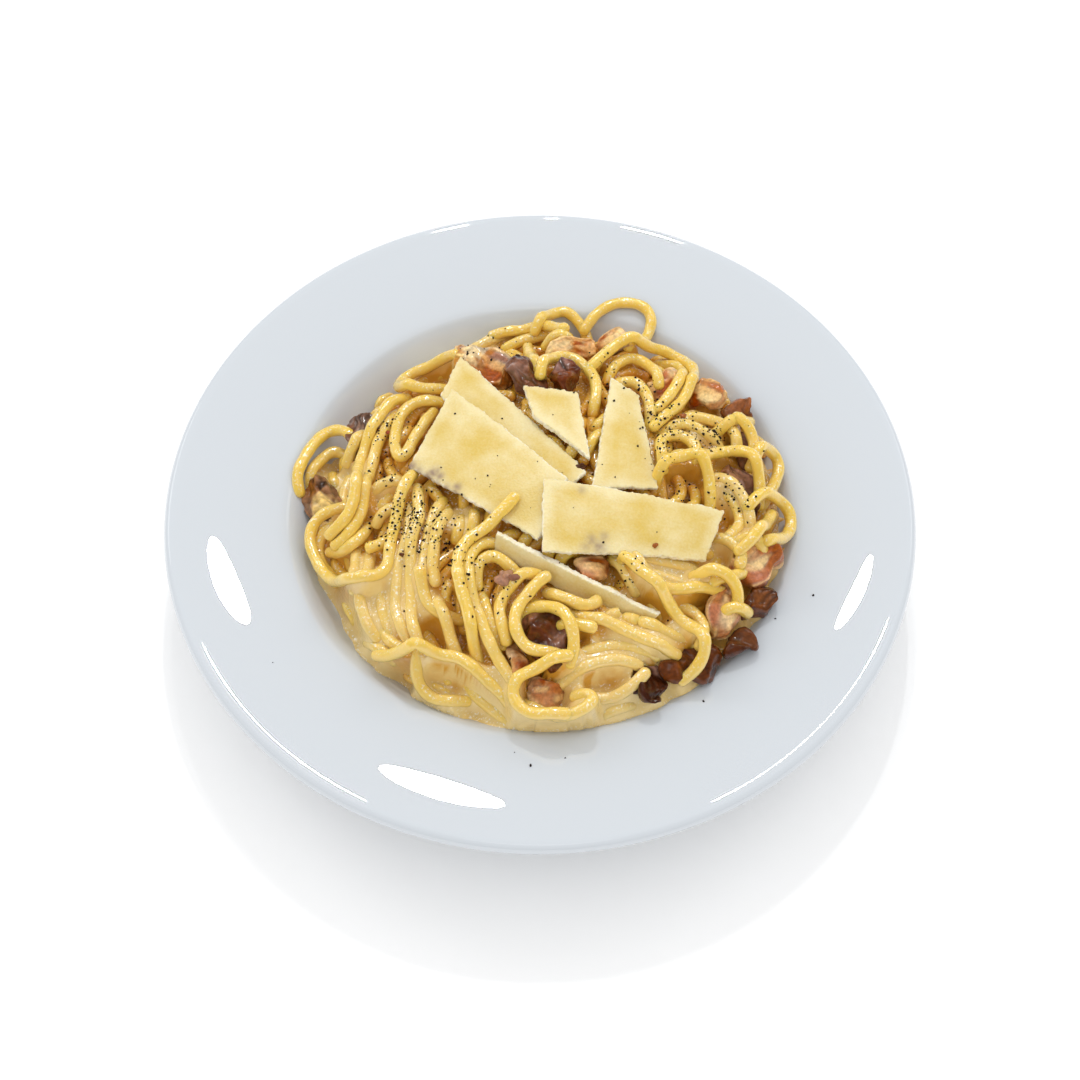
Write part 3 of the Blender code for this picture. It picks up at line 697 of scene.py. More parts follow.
def hard_cheese(face, crumb):
    """Aged hard cheese pared off a block: waxy, half clear in the middle, crumbling at its edges."""
    material, tree, shader = new_material("hard_cheese")
    where = add(tree, "ShaderNodeTexCoord").outputs["Object"]
    dry = add(tree, "ShaderNodeAttribute", attribute_name="dry").outputs["Fac"]
    edge = add(tree, "ShaderNodeAttribute", attribute_name="edge").outputs["Fac"]
    stain = add(tree, "ShaderNodeAttribute", attribute_name="stain").outputs["Fac"]
    # paler, drier patches about 12 mm across
    cloud = add(tree, "ShaderNodeTexNoise", {"Vector": where, "Scale": 80.0, "Detail": 3.0})
    # crystals and broken grain, about 0.8 mm
    grain = add(tree, "ShaderNodeTexNoise", {"Vector": where, "Scale": 1300.0, "Detail": 3.0})
    drier = add(
        tree, "ShaderNodeMath", {0: cloud.outputs["Fac"], 1: 1.6, 2: dry}, operation="MULTIPLY_ADD"
    )
    paler = {"Value": drier.outputs[0], "From Min": 0.5, "From Max": 1.4}
    pale = add(tree, "ShaderNodeMapRange", paler)
    ragged = add(tree, "ShaderNodeMath", {0: grain.outputs["Fac"], 1: 0.5}, operation="SUBTRACT")
    grainy = {0: ragged.outputs[0], 1: 0.7, 2: pale.outputs[0]}
    grainy = add(tree, "ShaderNodeMath", grainy, operation="MULTIPLY_ADD", use_clamp=True)
    waxy = mixed(tree, grainy.outputs[0], face, linear("E4D5A2"))
    torn = {0: ragged.outputs[0], 1: 1.8, 2: edge}
    torn = add(tree, "ShaderNodeMath", torn, operation="MULTIPLY_ADD", use_clamp=True)
    shown = mixed(tree, stain, mixed(tree, torn.outputs[0], waxy, crumb), linear("9A826C"))
    tree.links.new(shown, shader.inputs["Base Color"])
    bump = add(
        tree, "ShaderNodeBump", {"Height": grain.outputs["Fac"], "Distance": 0.0004, "Strength": 0.5}
    )
    tree.links.new(bump.outputs["Normal"], shader.inputs["Normal"])
    fill_in(shader, {
        "Roughness": 0.42, "IOR": 1.45, "Subsurface Weight": 0.15,
        "Subsurface Radius": (1.0, 0.7, 0.3), "Subsurface Scale": 0.001,
    })
    return material


def tinted_food(name, fineness, contrast, lightness, richness):
    """Wet fried food in the colours painted on it, mottled and wrinkled at one fineness."""
    material, tree, shader = new_material(name)
    where = add(tree, "ShaderNodeTexCoord").outputs["Object"]
    tint = add(tree, "ShaderNodeAttribute", attribute_name="tint").outputs["Color"]
    crease = add(tree, "ShaderNodeAttribute", attribute_name="crease").outputs["Fac"]
    # fibres and wrinkles about 1.5 mm across
    mottle = add(tree, "ShaderNodeTexNoise", {"Vector": where, "Scale": fineness, "Detail": 4.0})
    spread = {"From Min": 0.3, "From Max": 0.7, "To Min": 1.0 - contrast, "To Max": 1.0 + contrast}
    tone = add(tree, "ShaderNodeMapRange", {"Value": mottle.outputs["Fac"], **spread})
    # painted shade: the colour is darkened where the crease attribute is high, in seams, hollows and
    # gills
    shade = add(tree, "ShaderNodeMath", {0: 1.0, 1: crease}, operation="SUBTRACT")
    both = {0: tone.outputs[0], 1: shade.outputs[0]}
    both = add(tree, "ShaderNodeMath", both, operation="MULTIPLY")
    colour = add(tree, "ShaderNodeVectorMath", {0: tint, "Scale": both.outputs[0]}, operation="SCALE")
    rich = add(
        tree, "ShaderNodeHueSaturation",
        {"Color": colour.outputs[0], "Saturation": richness, "Value": lightness},
    )
    tree.links.new(rich.outputs[0], shader.inputs["Base Color"])
    bump = add(
        tree, "ShaderNodeBump", {"Height": mottle.outputs["Fac"], "Distance": 0.0006, "Strength": 0.7}
    )
    tree.links.new(bump.outputs["Normal"], shader.inputs["Normal"])
    fill_in(shader, {"Roughness": 0.35, "IOR": 1.4, "Coat Weight": 0.8, "Coat Roughness": 0.12})
    return material


def cooked_bacon():
    """Pan-fried lardon: brick-red lean, cream fat and charred spots, greasy gloss."""
    return tinted_food("cooked_bacon", fineness=800.0, contrast=0.26, lightness=1.26, richness=1.12)


def cooked_mushroom():
    """Brown mushroom slice fried soft: wet grey-brown flesh, nearly black gills."""
    return tinted_food("cooked_mushroom", fineness=600.0, contrast=0.34, lightness=1.3, richness=1.2)


def cracked_pepper(colour):
    """Coarsely ground black pepper: matt, almost black broken husks."""
    material, _, shader = new_material("cracked_pepper")
    fill_in(shader, {"Base Color": colour, "Roughness": 0.7})
    return material


def pale_table(colour):
    """Plain matt laminate in off-white, so that the shadow under the plate reads softly."""
    material, _, shader = new_material("pale_table")
    fill_in(shader, {"Base Color": colour, "Roughness": 0.9, "Specular IOR Level": 0.0})
    return material


# ---- plate -----------------------------------------------------------------------------------
def smoothed(points, rounds):
    """A profile with its corners rounded off and its long straights divided."""
    for _ in range(rounds):
        cut = [points[0]]
        for (r0, z0), (r1, z1) in zip(points, points[1:]):
            t = min(0.2, LONGEST_CUT / math.hypot(r1 - r0, z1 - z0))
            cut.append((r0 + t * (r1 - r0), z0 + t * (z1 - z0)))
            cut.append((r1 - t * (r1 - r0), z1 - t * (z1 - z0)))
        cut.append(points[-1])
        points = cut
    fine = [points[0]]
    for (r0, z0), (r1, z1) in zip(points, points[1:]):
        parts = max(1, round(math.hypot(r1 - r0, z1 - z0) / LONGEST_STRAIGHT))
        for k in range(1, parts + 1):
            fine.append((r0 + (r1 - r0) * k / parts, z0 + (z1 - z0) * k / parts))
    return fine


def build_plate(settings):
    """The plate's profile spun round its axis, with its corners eased by the glaze."""
    bm = bmesh.new()
    profile = smoothed([*PLATE_INSIDE, *PLATE_OUTSIDE], rounds=3)
    ring = [bm.verts.new((radius, 0.0, height)) for radius, height in profile]
    for first, second in zip(ring, ring[1:]):
        bm.edges.new((first, second))
    bmesh.ops.spin(
        bm,
        geom=bm.verts[:] + bm.edges[:],
        cent=(0.0, 0.0, 0.0),
        axis=(0.0, 0.0, 1.0),
        dvec=(0.0, 0.0, 0.0),
        angle=2.0 * math.pi,
        steps=PLATE_SEGMENTS,
        use_merge=True,
        use_duplicate=False,
    )
    bmesh.ops.remove_doubles(bm, verts=bm.verts, dist=1e-3)
    bmesh.ops.recalc_face_normals(bm, faces=bm.faces)
    plate = new_object("glazed_plate", bm, glazed_porcelain(settings.porcelain))
    return serve(plate, "porcelain", "plate")


# ---- spaghetti -------------------------------------------------------------------------------
def smooth_route(points, pitch=PITCH):
    """Evenly spaced points along a smooth curve through the given ones."""
    knots = np.array(points, float)
    ends = 2.0 * knots[[0, -1]] - knots[[1, -2]]
    padded = np.vstack([ends[:1], knots, ends[1:]])
    t = np.linspace(0.0, 1.0, 12, endpoint=False)[:, None]
    pieces = []
    for a, b, c, d in zip(padded, padded[1:], padded[2:], padded[3:]):
        cubic = 2 * b + (c - a) * t + (2 * a - 5 * b + 4 * c - d) * t**2
        pieces.append(0.5 * (cubic + (3 * b - a - 3 * c + d) * t**3))
    dense = np.vstack(pieces + [knots[-1:]])
    run = np.concatenate([[0.0], np.cumsum(np.linalg.norm(np.diff(dense, axis=0), axis=1))])
    count = max(5, int(round(run[-1] / pitch)) + 1)
    at = np.linspace(0.0, run[-1], count)
    route = np.column_stack([np.interp(at, run, dense[:, k]) for k in range(2)])
    for _ in range(6):
        route[1:-1] = 0.5 * route[1:-1] + 0.25 * (route[2:] + route[:-2])
    return route


class Relief:
    """Height of whatever lies on the plate so far, on a square grid, in millimetres."""

    def __init__(self, height):
        self.height = height.copy()

    def at(self, x, y):
        return self.height[cell(x), cell(y)]

    def contact(self, route, radius):
        """Height at which a round strand's middle touches what lies below it."""
        along = np.gradient(route, axis=0)
        along /= np.linalg.norm(along, axis=1)[:, None] + 1e-9
        across = np.column_stack([-along[:, 1], along[:, 0]])
        best = np.full(len(route), NOWHERE)
        for share in np.linspace(-0.95, 0.95, 9):
            spot = route + across * share * radius
            rise = radius * math.sqrt(1.0 - share * share)
            best = np.maximum(best, self.at(spot[:, 0], spot[:, 1]) + rise)
        return best

    def drape(self, route, radius, goal, rounds=48):
        """A limp strand's heights: at its goal, over what it touches, and without kinks."""
        floor = self.contact(route, radius * SINK)
        height = np.maximum(floor, goal)
        for _ in range(rounds):
            padded = np.concatenate([height[:1], height, height[-1:]])
            height = np.maximum(floor, 0.5 * height + 0.25 * (padded[:-2] + padded[2:]))
        return height

    def press(self, route, height, radius):
        """Adds a strand to the relief."""
        i, j = cell(route[:, 0]), cell(route[:, 1])
        limit = GRID_SIZE - 1
        for di, dj, distance in ball_offsets(radius):
            spot = (np.clip(i + di, 0, limit), np.clip(j + dj, 0, limit))
            np.maximum.at(self.height, spot, height + math.sqrt(radius**2 - distance**2))


def flow_of(routes):
    """Which way the strands run round each cell, as a doubled angle, stronger where they agree."""
    doubled = np.zeros((2, GRID_SIZE, GRID_SIZE))
    for route in routes:
        along = np.gradient(route, axis=0)
        angle = 2.0 * np.arctan2(along[:, 1], along[:, 0])
        spot = (cell(route[:, 0]), cell(route[:, 1]))
        np.add.at(doubled[0], spot, np.cos(angle))
        np.add.at(doubled[1], spot, np.sin(angle))
    doubled = np.stack([blurred(part, 160) for part in doubled])
    strength = np.hypot(*doubled)
    return doubled / np.maximum(strength, 1e-6) * np.clip(strength / 0.02, 0.0, 1.0)


def wander(rng, flow):
    """A free strand's route: it starts anywhere, bends slowly and tends to run with the others."""
    angle, share = rng.uniform(0.0, 2.0 * math.pi), math.sqrt(rng.uniform(0.0, 1.0))
    x, y = share * SCATTER * math.cos(angle), share * SCATTER * math.sin(angle)
    heading = rng.uniform(0.0, 2.0 * math.pi)
    bend = rng.uniform(-SHARPEST_TURN, SHARPEST_TURN)
    points = []
    for _ in range(int(rng.uniform(*STEPS))):
        points.append((x, y))
        bend = max(-SHARPEST_TURN, min(SHARPEST_TURN, bend + rng.gauss(0.0, BEND_CHANGE)))
        heading += STRIDE * bend
        cosine, sine = flow[:, cell(x), cell(y)]
        off = math.remainder(0.5 * math.atan2(sine, cosine) - heading, math.pi)
        heading += FOLLOW * math.hypot(cosine, sine) * off
        room = float(heap_radius(x, y)) - EDGE_GAP - math.hypot(x, y)
        if room < TURN_BACK:
            inward = math.atan2(-y, -x)
            off = math.remainder(inward - heading, 2.0 * math.pi)
            turn = math.copysign(min(abs(off), SHARPEST_TURN_BACK), off)
            heading += turn * (1.0 - max(room, 0.0) / TURN_BACK)
        x += STRIDE * math.cos(heading)
        y += STRIDE * math.sin(heading)
    return points


def longest_run(good):
    """(start, end) of the longest stretch of True values."""
    best, start = (0, 0), None
    for number, value in enumerate(list(good) + [False]):
        if value and start is None:
            start = number
        elif not value and start is not None:
            if number - start > best[1] - best[0]:
                best = (start, number)
            start = None
    return best


def lay_filling(relief, allowed, radius, rng, flow):
    """Strands dropped at random wherever the pile isn't yet as high as allowed."""
    laid = []
    for _ in range(TRIES):
        route = smooth_route(wander(rng, flow))
        height = relief.drape(route, radius, NOWHERE)
        good = height < allowed[cell(route[:, 0]), cell(route[:, 1])]
        start, end = longest_run(good)
        if end - start < SHORTEST:
            continue
        route, height = route[start:end], height[start:end]
        relief.press(route, height, radius)
        laid.append((route, height, rng.uniform(-0.15, 0.15)))
    return laid


def lay_routes(relief, rows, radius, cheese_top, cheese_bottom):
    """Strands laid along their own routes, near the heap's height."""
    laid = []
    for cream, lifts, points in rows:
        route = smooth_route(points)
        share = np.linspace(0.0, 1.0, len(route))
        lift = np.interp(share, (0.0, 0.5, 1.0), lifts)
        goal = heap_top(route[:, 0], route[:, 1]) + STRAND_LIFT + lift
        if points[0] == OVER_CHEESE:
            over = Relief(np.maximum(relief.height, cheese_top))
            height = over.drape(route, radius, goal)
        else:
            height = relief.drape(route, radius, goal)
            ceiling = cheese_bottom[cell(route[:, 0]), cell(route[:, 1])]
            height = np.minimum(height, ceiling - radius)
        relief.press(route, height, radius)
        laid.append((route, height, cream))
    return laid


def sunk_ends(route, height):
    """Heights of a strand whose ends dip out of sight, unless they are seen in the open."""
    height = height.copy()
    for step in (1, -1):
        if any(math.hypot(*(route[::step][0] - end)) < 1.0 for end in OPEN_ENDS):
            continue
        reach = min(END_POINTS, len(height) // 3)
        dip = END_DIP * (1.0 - np.arange(reach) / reach) ** 1.5
        height[::step][:reach] -= dip
    return height


def strand_piece(name, laid, radius, material, local):
    """One mesh of many round strands with rounded ends, from curves with a bevel.

    Local is how much of the sauce round a strand clings to it.
    """
    bm = bmesh.new()
    creams = []
    for number, (route, height, cream) in enumerate(laid):
        curve = bpy.data.curves.new("strand", "CURVE")
        curve.dimensions = "3D"
        curve.bevel_depth = radius
        curve.bevel_resolution = 4
        curve.use_fill_caps = True
        points = np.column_stack([route, sunk_ends(route, height)])
        start, end = points[0] - points[1], points[-1] - points[-2]
        start, end = start / np.linalg.norm(start), end / np.linalg.norm(end)
        before = [points[0] + start * radius * 0.75 * out for out, _ in END_SHAPE]
        after = [points[-1] + end * radius * 0.75 * out for out, _ in reversed(END_SHAPE)]
        places = np.vstack(before + [points] + after)
        narrower = [wide for _, wide in END_SHAPE]
        sizes = narrower + [1.0] * len(points) + narrower[::-1]
        spline = curve.splines.new("POLY")
        spline.points.add(len(places) - 1)
        spline.points.foreach_set("co", np.column_stack([places, np.ones(len(places))]).ravel())
        swell = 1.0 + SWELLING * np.sin(0.9 * np.arange(len(places)) + 1.7 * number)
        spline.points.foreach_set("radius", np.array(sizes) * swell)
        holder = bpy.data.objects.new("strand", curve)
        mesh = bpy.data.meshes.new_from_object(holder)
        bm.from_mesh(mesh)
        bpy.data.objects.remove(holder)
        bpy.data.curves.remove(curve)
        bpy.data.meshes.remove(mesh)
        creams += [cream] * (len(bm.verts) - len(creams))
    bm.verts.ensure_lookup_table()
    obj = new_object(name, bm, material)
    spots = np.zeros(len(obj.data.vertices) * 3, np.float32)
    obj.data.vertices.foreach_get("co", spots)
    spots = spots.reshape(-1, 3) / MM
    there = creaminess(spots[:, 0], spots[:, 1])
    # painted shade: the further a strand lies below the heap's top, the more its colour turns to the
    # darker orange, except where the sauce is creamy
    deep = np.clip((heap_top(spots[:, 0], spots[:, 1]) - 0.5 - spots[:, 2]) / 4.0, 0.0, 1.0)
    own = np.array(creams)
    paint(obj, "cream", np.clip(local * there + own - 1.2 * deep * (1.0 - there), -1.0, 1.0))
    return serve(obj, "spaghetti", "pasta_heap")


def build_spaghetti(settings):
    """The heap: strands dropped at random up to just below its top, then the ones that show."""
    radius = 0.5 * settings.thickness / MM
    radii = np.hypot(GRID_X, GRID_Y)
    plate = plate_top(radii)
    dome = heap_top(GRID_X, GRID_Y)
    cheese = nodes_called("shaving")
    toppings = nodes_called("bacon") + nodes_called("mushroom")
    cheese_top, cheese_bottom = cast_heights(cheese), cast_heights(cheese, upwards=True)

    relief = Relief(np.maximum(np.maximum(plate, dome - CORE_DEPTH), cast_heights(toppings)))
    groups = {"left": LEFT, "front": FRONT, "right": RIGHT, "back": BACK}
    routes = [smooth_route(points) for rows in groups.values() for _, _, points in rows]
    marks = Relief(np.full_like(dome, NOWHERE))
    for route in routes:
        marks.press(route, np.zeros(len(route)), BESIDE)
    near = marks.height > -1.0

    allowed = dome - np.where(near, BELOW_LAID, BELOW_TOP)
    allowed = np.maximum(allowed, np.where(near, NOWHERE, plate + radius + 0.4))
    allowed = np.minimum(allowed, cheese_bottom - radius - 0.3)
    allowed = np.minimum(allowed, cast_heights(toppings, upwards=True) - radius)
    allowed[radii > heap_radius(GRID_X, GRID_Y) - 1.8] = NOWHERE

    rng = random.Random(settings.seed)
    material = cooked_spaghetti(settings.clean, settings.creamy)
    filling = lay_filling(relief, allowed, radius, rng, flow_of(routes))
    half = len(filling) // 2
    strand_piece("strands_below_1", filling[:half], radius, material, 0.7)
    strand_piece("strands_below_2", filling[half:], radius, material, 0.7)
    for name, rows in groups.items():
        laid = lay_routes(relief, rows, radius, cheese_top, cheese_bottom)
        strand_piece("strands_" + name, laid, radius, material, 0.45)


# ---- sauce -----------------------------------------------------------------------------------
def closed_by(field, radius):
    """A grid with its hollows filled as far as a ball of the given radius can't reach."""
    offsets = [(i, j, math.sqrt(radius**2 - d**2)) for i, j, d in ball_offsets(radius)]
    over = field.copy()
    for i, j, rise in offsets:
        np.maximum(over, shifted(field, i, j, NOWHERE) + rise, out=over)
    under = np.full_like(field, -NOWHERE)
    for i, j, rise in offsets:
        np.minimum(under, shifted(over, -i, -j, -NOWHERE) - rise, out=under)
    return np.maximum(under, field)


def between(field, x, y):
    """A grid's value at a point, from the four cells round it."""
    u, v = (x + HALF) / CELL, (y + HALF) / CELL
    i, j = min(max(int(u), 0), GRID_SIZE - 2), min(max(int(v), 0), GRID_SIZE - 2)
    u, v = u - i, v - j
    near = field[i, j] * (1.0 - u) + field[i + 1, j] * u
    far = field[i, j + 1] * (1.0 - u) + field[i + 1, j + 1] * u
    return float(near * (1.0 - v) + far * v)


def cast_grid(objects):
    """Highest points of many objects over the whole grid."""
    tree = tree_of(objects)
    heights = np.full_like(GRID_X, NOWHERE)
    for i, x in enumerate(GRID_LINE):
        for j, y in enumerate(GRID_LINE):
            if x * x + y * y < SHELF**2:
                hit = tree.ray_cast(Vector((x, y, OVER_ALL)), DOWN)[0]
                if hit is not None:
                    heights[i, j] = hit.z
    return heights


def build_sauce(settings):
    """The heap's core: sauce in the hollows between the strands, fuller where there is more."""
    strands = [o for o in bpy.context.scene.objects if o.name.startswith("strands_")]
    toppings = nodes_called("bacon") + nodes_called("mushroom")
    radii = np.hypot(GRID_X, GRID_Y)
    plate = plate_top(radii)
    core = np.where(radii < heap_radius(GRID_X, GRID_Y) - 3.0, heap_top(GRID_X, GRID_Y), 0.0)
    core = np.maximum(core - CORE_DEPTH, plate - 0.8)
    shown = cast_heights(toppings)
    food = np.maximum(cast_grid(strands), shown - 3.0)
    tops = np.maximum(np.maximum(plate, core), food)
    cream = creaminess(GRID_X, GRID_Y)
    # the strands' tops evened out, then the sauce's level where it is thin and where it is thick
    under = -closed_by(-closed_by(tops, 4.5), 3.2)
    thin = -widest(closed_by(-closed_by(tops, 0.6), 3.2), 1.6) - 1.0
    thick = blurred(closed_by(tops, 3.0), 3) - 0.95
    thick = np.minimum(thick, under + 2.0)
    share = np.clip((cream - THINNEST) / 0.42, 0.0, 1.0)
    share = share * share * (3.0 - 2.0 * share)
    level = np.maximum(blurred(thin + share * (thick - thin), 2), core)
    level = np.where(shown > 0.0, np.minimum(level, shown - TOPPING_SHOWS), level)
    outside = radii > heap_radius(GRID_X, GRID_Y) - 0.4
    level = np.where(outside, np.minimum(level, plate - 0.5), level)
    for (x, y), reach, depth in POOLS:
        pool = plate - 1.0 + depth * np.exp(-((GRID_X - x) ** 2 + (GRID_Y - y) ** 2) / reach**2)
        level = np.maximum(level, pool)
    # painted shade: how far the sauce lies below the strands round it, for darkening its colour
    buried = np.clip((under - level - 1.5) / 3.0, 0.0, 1.0)

    bm = bmesh.new()
    count = int(2 * SHELF * MM / settings.fineness)
    bmesh.ops.create_grid(bm, x_segments=count, y_segments=count, size=SHELF)
    far = [face for face in bm.faces if math.hypot(*face.calc_center_median()[:2]) > SHELF - 1.0]
    bmesh.ops.delete(bm, geom=far, context="FACES")
    for vert in bm.verts:
        vert.co.z = between(level, vert.co.x, vert.co.y)
    edge = [line for line in bm.edges if line.is_boundary]
    for radius in (88.0, 80.0, 68.0, 50.0, 25.0, 0.0):
        ring = bmesh.ops.extrude_edge_only(bm, edges=edge)["geom"]
        edge = [item for item in ring if isinstance(item, bmesh.types.BMEdge)]
        for vert in (item for item in ring if isinstance(item, bmesh.types.BMVert)):
            share = radius / math.hypot(vert.co.x, vert.co.y)
            floor = float(plate_top(radius)) - INTO_GLAZE
            vert.co = Vector((vert.co.x * share, vert.co.y * share, floor))
    low = [vert for vert in bm.verts if vert.co.z < FLOOR_HEIGHT + 2.0]
    middle = [vert for vert in low if math.hypot(vert.co.x, vert.co.y) < 0.1]
    bmesh.ops.pointmerge(bm, verts=middle, merge_co=(0.0, 0.0, FLOOR_HEIGHT - INTO_GLAZE))
    bmesh.ops.recalc_face_normals(bm, faces=bm.faces)
    spots = np.array([vert.co[:] for vert in bm.verts])
    sauce = new_object("cream_sauce_core", bm, cream_sauce(settings.deep, settings.creamy))
    # painted shade: sauce lying deep between the strands is painted the darker amber, less towards the
    # heap's edge
    shade = buried[cell(spots[:, 0]), cell(spots[:, 1])]
    inside = heap_radius(spots[:, 0], spots[:, 1]) - np.hypot(spots[:, 0], spots[:, 1])
    shade = shade * np.clip(inside / 9.0 - 0.2, 0.0, 1.0)
    rich = 0.5 + 0.6 * creaminess(spots[:, 0], spots[:, 1])
    rich = rich + 0.4 * np.clip(1.0 - inside / 9.0, 0.0, 1.0)
    paint(sauce, "cream", np.clip(rich * (1.0 - shade) - 0.3 * shade, -0.5, 1.0))
    return serve(sauce, "sauce", "pasta_heap")


# ---- toppings --------------------------------------------------------------------------------
def refined(node, voxel):
    """A closed copy of a node's mesh, in millimetres, remeshed evenly, and its own axes."""
    bm = bmesh.new()
    bm.from_mesh(node.data)
    bmesh.ops.remove_doubles(bm, verts=bm.verts, dist=1e-6)
    bmesh.ops.scale(bm, vec=(1.0 / MM,) * 3, verts=bm.verts)
    mesh = bpy.data.meshes.new("copy")
    bm.to_mesh(mesh)
    bm.free()
    holder = bpy.data.objects.new("copy", mesh)
    bpy.context.scene.collection.objects.link(holder)
    remesh = holder.modifiers.new("Even", "REMESH")
    remesh.mode = "VOXEL"
    remesh.voxel_size = voxel
    graph = bpy.context.evaluated_depsgraph_get()
    fine = bpy.data.meshes.new_from_object(holder.evaluated_get(graph))
    bm = bmesh.new()
    bm.from_mesh(fine)
    bpy.data.objects.remove(holder)
    bpy.data.meshes.remove(mesh)
    bpy.data.meshes.remove(fine)
    bmesh.ops.recalc_face_normals(bm, faces=bm.faces)
    bm.normal_update()
    spots = np.array([vert.co[:] for vert in bm.verts])
    middle = spots.mean(0)
    _, _, axes = np.linalg.svd(spots - middle, full_matrices=False)
    return bm, spots, middle, axes


def rough(spot, size, seed=0.0):
    """Smooth noise from -1 to 1 with lumps of about the given size in millimetres."""
    return noise.noise(Vector(spot) / size + Vector((seed, 1.7 * seed, 3.1 * seed)))


def stained(spot, marks):
    """How strongly the food below shows through at a point."""
    amount = 0.0
    for (x, y), reach, strength in marks:
        distance = (spot[0] - x) ** 2 + (spot[1] - y) ** 2
        amount = max(amount, strength * math.exp(-distance / reach**2))
    return 1.3 * amount * (1.0 + 0.4 * rough(spot, 1.1, 3.0) + 0.4 * rough(spot, 3.0, 8.0))


# For each lardon, then for each slice of mushroom: its main colour, and the patches of other
# colours on it as (x, y), reach and colour
BACON_LOOKS = (
    ("B0784A", (
        ((-32.0, 55.0), 4.0, "CFA45E"), ((-26.0, 56.0), 4.0, "DCC8A0"),
        ((-20.0, 58.5), 3.2, "B8A890"), ((-19.5, 60.0), 1.4, "3E3028"),
        ((-10.0, 50.0), 1.8, "3A2C28"), ((-14.0, 52.5), 2.2, "96867A"),
        ((-17.0, 48.5), 2.8, "A8501E"), ((-6.0, 44.0), 3.0, "54362C"),
        ((-11.0, 42.5), 3.0, "7A4628"),
    )),
    ("C89A66", (
        ((15.0, 60.0), 2.6, "9E4418"), ((5.0, 56.0), 3.0, "D8B878"), ((7.0, 60.0), 3.0, "DCC090"),
        ((18.5, 62.0), 2.2, "B05A2C"), ((19.0, 57.0), 2.0, "C8884A"),
    )),
    ("CFA878", (
        ((23.0, 66.0), 2.0, "A0421E"), ((29.0, 63.0), 2.5, "DCC8A8"), ((25.0, 61.0), 2.0, "C4803E"),
        ((32.0, 66.0), 2.2, "D8BC98"),
    )),
    ("C08A5C", (
        ((45.0, 41.0), 3.0, "AA5630"), ((42.0, 47.0), 2.5, "C08060"), ((48.0, 46.0), 2.5, "D8B888"),
    )),
    ("CCA070", (
        ((56.0, 39.0), 1.8, "AE4F26"), ((59.5, 38.5), 2.4, "E2CA9A"), ((63.5, 38.0), 2.0, "DAB88E"),
        ((67.0, 37.0), 2.0, "8A4A2C"), ((64.0, 42.5), 2.4, "A86A48"),
    )),
    ("A8704E", (
        ((74.0, -34.0), 3.0, "B8846E"), ((72.0, -30.0), 2.5, "D4B890"), ((75.0, -38.0), 1.8, "DABE9A"),
        ((69.0, -43.0), 3.0, "6E3E24"), ((77.0, -40.0), 2.0, "A86030"), ((68.0, -26.0), 2.5, "B87850"),
        ((79.0, -24.0), 2.5, "8A5030"),
    )),
    ("B48A66", (
        ((58.0, -51.0), 2.5, "AE806A"), ((61.5, -52.0), 1.8, "D2B692"), ((57.0, -56.0), 2.5, "A4744A"),
        ((59.0, -44.0), 2.5, "C09068"),
    )),
    ("B8845A", (
        ((-7.0, -70.0), 1.8, "9A4624"), ((-9.0, -64.0), 1.6, "DAC09A"), ((-5.0, -64.0), 1.6, "B87A50"),
        ((-7.0, -61.0), 1.5, "CFA878"),
    )),
    ("C09A74", (
        ((-1.0, -76.0), 2.0, "BE8A6A"), ((1.0, -72.5), 1.5, "98492A"), ((-3.0, -79.0), 2.0, "DCC49C"),
        ((5.0, -76.0), 2.0, "B07A50"),
    )),
    ("AE7450", (((14.0, -36.0), 2.0, "C89A78"), ((19.0, -36.0), 2.0, "96502E"))),
)
MUSHROOM_LOOKS = (
    ("5E3A2A", (((-4.0, 40.0), 3.0, "6E4A38"), ((-8.0, 44.0), 3.0, "8A6A5C"))),
    ("5E3424", (((9.0, 42.0), 2.0, "6A3A20"), ((7.0, 46.0), 2.4, "8A6A60"))),
    ("7C5038", (((71.0, 38.0), 3.0, "8E6048"),)),
    ("6E4C3A", (((71.0, 20.0), 3.0, "8A6A5A"),)),
    ("7A5442", (((68.0, 2.0), 3.0, "94705E"), ((69.0, -5.0), 3.0, "5E3C2C"))),
    ("5A3422", (((74.0, -42.0), 2.5, "7A5038"),)),
    ("4E2C1E", (((66.0, -57.0), 2.5, "6A4430"),)),
    ("5C3420", (((48.0, -66.0), 3.0, "6A3A1C"), ((56.0, -62.0), 2.0, "5A3018"))),
    ("46281C", (((37.0, -68.0), 2.0, "9A7A6C"), ((36.0, -76.0), 3.0, "3E2218"))),
    ("5E3828", (
        ((1.0, -59.0), 4.0, "5A3424"), ((5.0, -60.0), 2.5, "8A6A5C"), ((-3.0, -54.0), 2.5, "8A6450"),
    )),
    ("8A6850", (
        ((-80.0, 6.0), 2.5, "7A5034"), ((-75.0, 7.0), 1.5, "3A2418"), ((-79.0, -4.0), 2.5, "8E6A50"),
        ((-75.5, 0.0), 3.0, "D8BC84"),
    )),
    # the pale grey patch at (-63, 28) is a painted highlight on this slice's top
    ("7A5C4C", (((-63.0, 28.0), 2.5, "A08878"), ((-67.0, 29.0), 1.5, "6E4838"))),
)

# Where the food below shows through a shaving: (x, y), reach and strength
SHOW_THROUGH = {
    "shaving_1": (
        ((-44.5, 3.5), 2.4, 0.75), ((-42.0, 1.0), 2.6, 0.5), ((-38.5, -1.5), 2.6, 0.55),
        ((-35.5, -4.0), 2.4, 0.45), ((-32.0, -7.0), 2.4, 0.5), ((-28.5, -9.0), 2.0, 0.5),
        ((-36.0, 0.0), 2.0, 0.85), ((-34.0, -2.0), 1.8, 0.6), ((-28.0, -7.0), 1.6, 0.7),
    ),
    "shaving_5": (
        ((17.0, -30.0), 2.2, 0.45), ((19.5, -32.0), 2.4, 0.6), ((21.0, -28.5), 1.8, 0.4),
        ((15.0, -32.5), 2.0, 0.35), ((15.0, -6.0), 1.5, 0.55), ((14.0, -12.0), 1.4, 0.4),
    ),
}


CRUMPLE_SEED = 2  # of the lardons' and the mushrooms' outlines


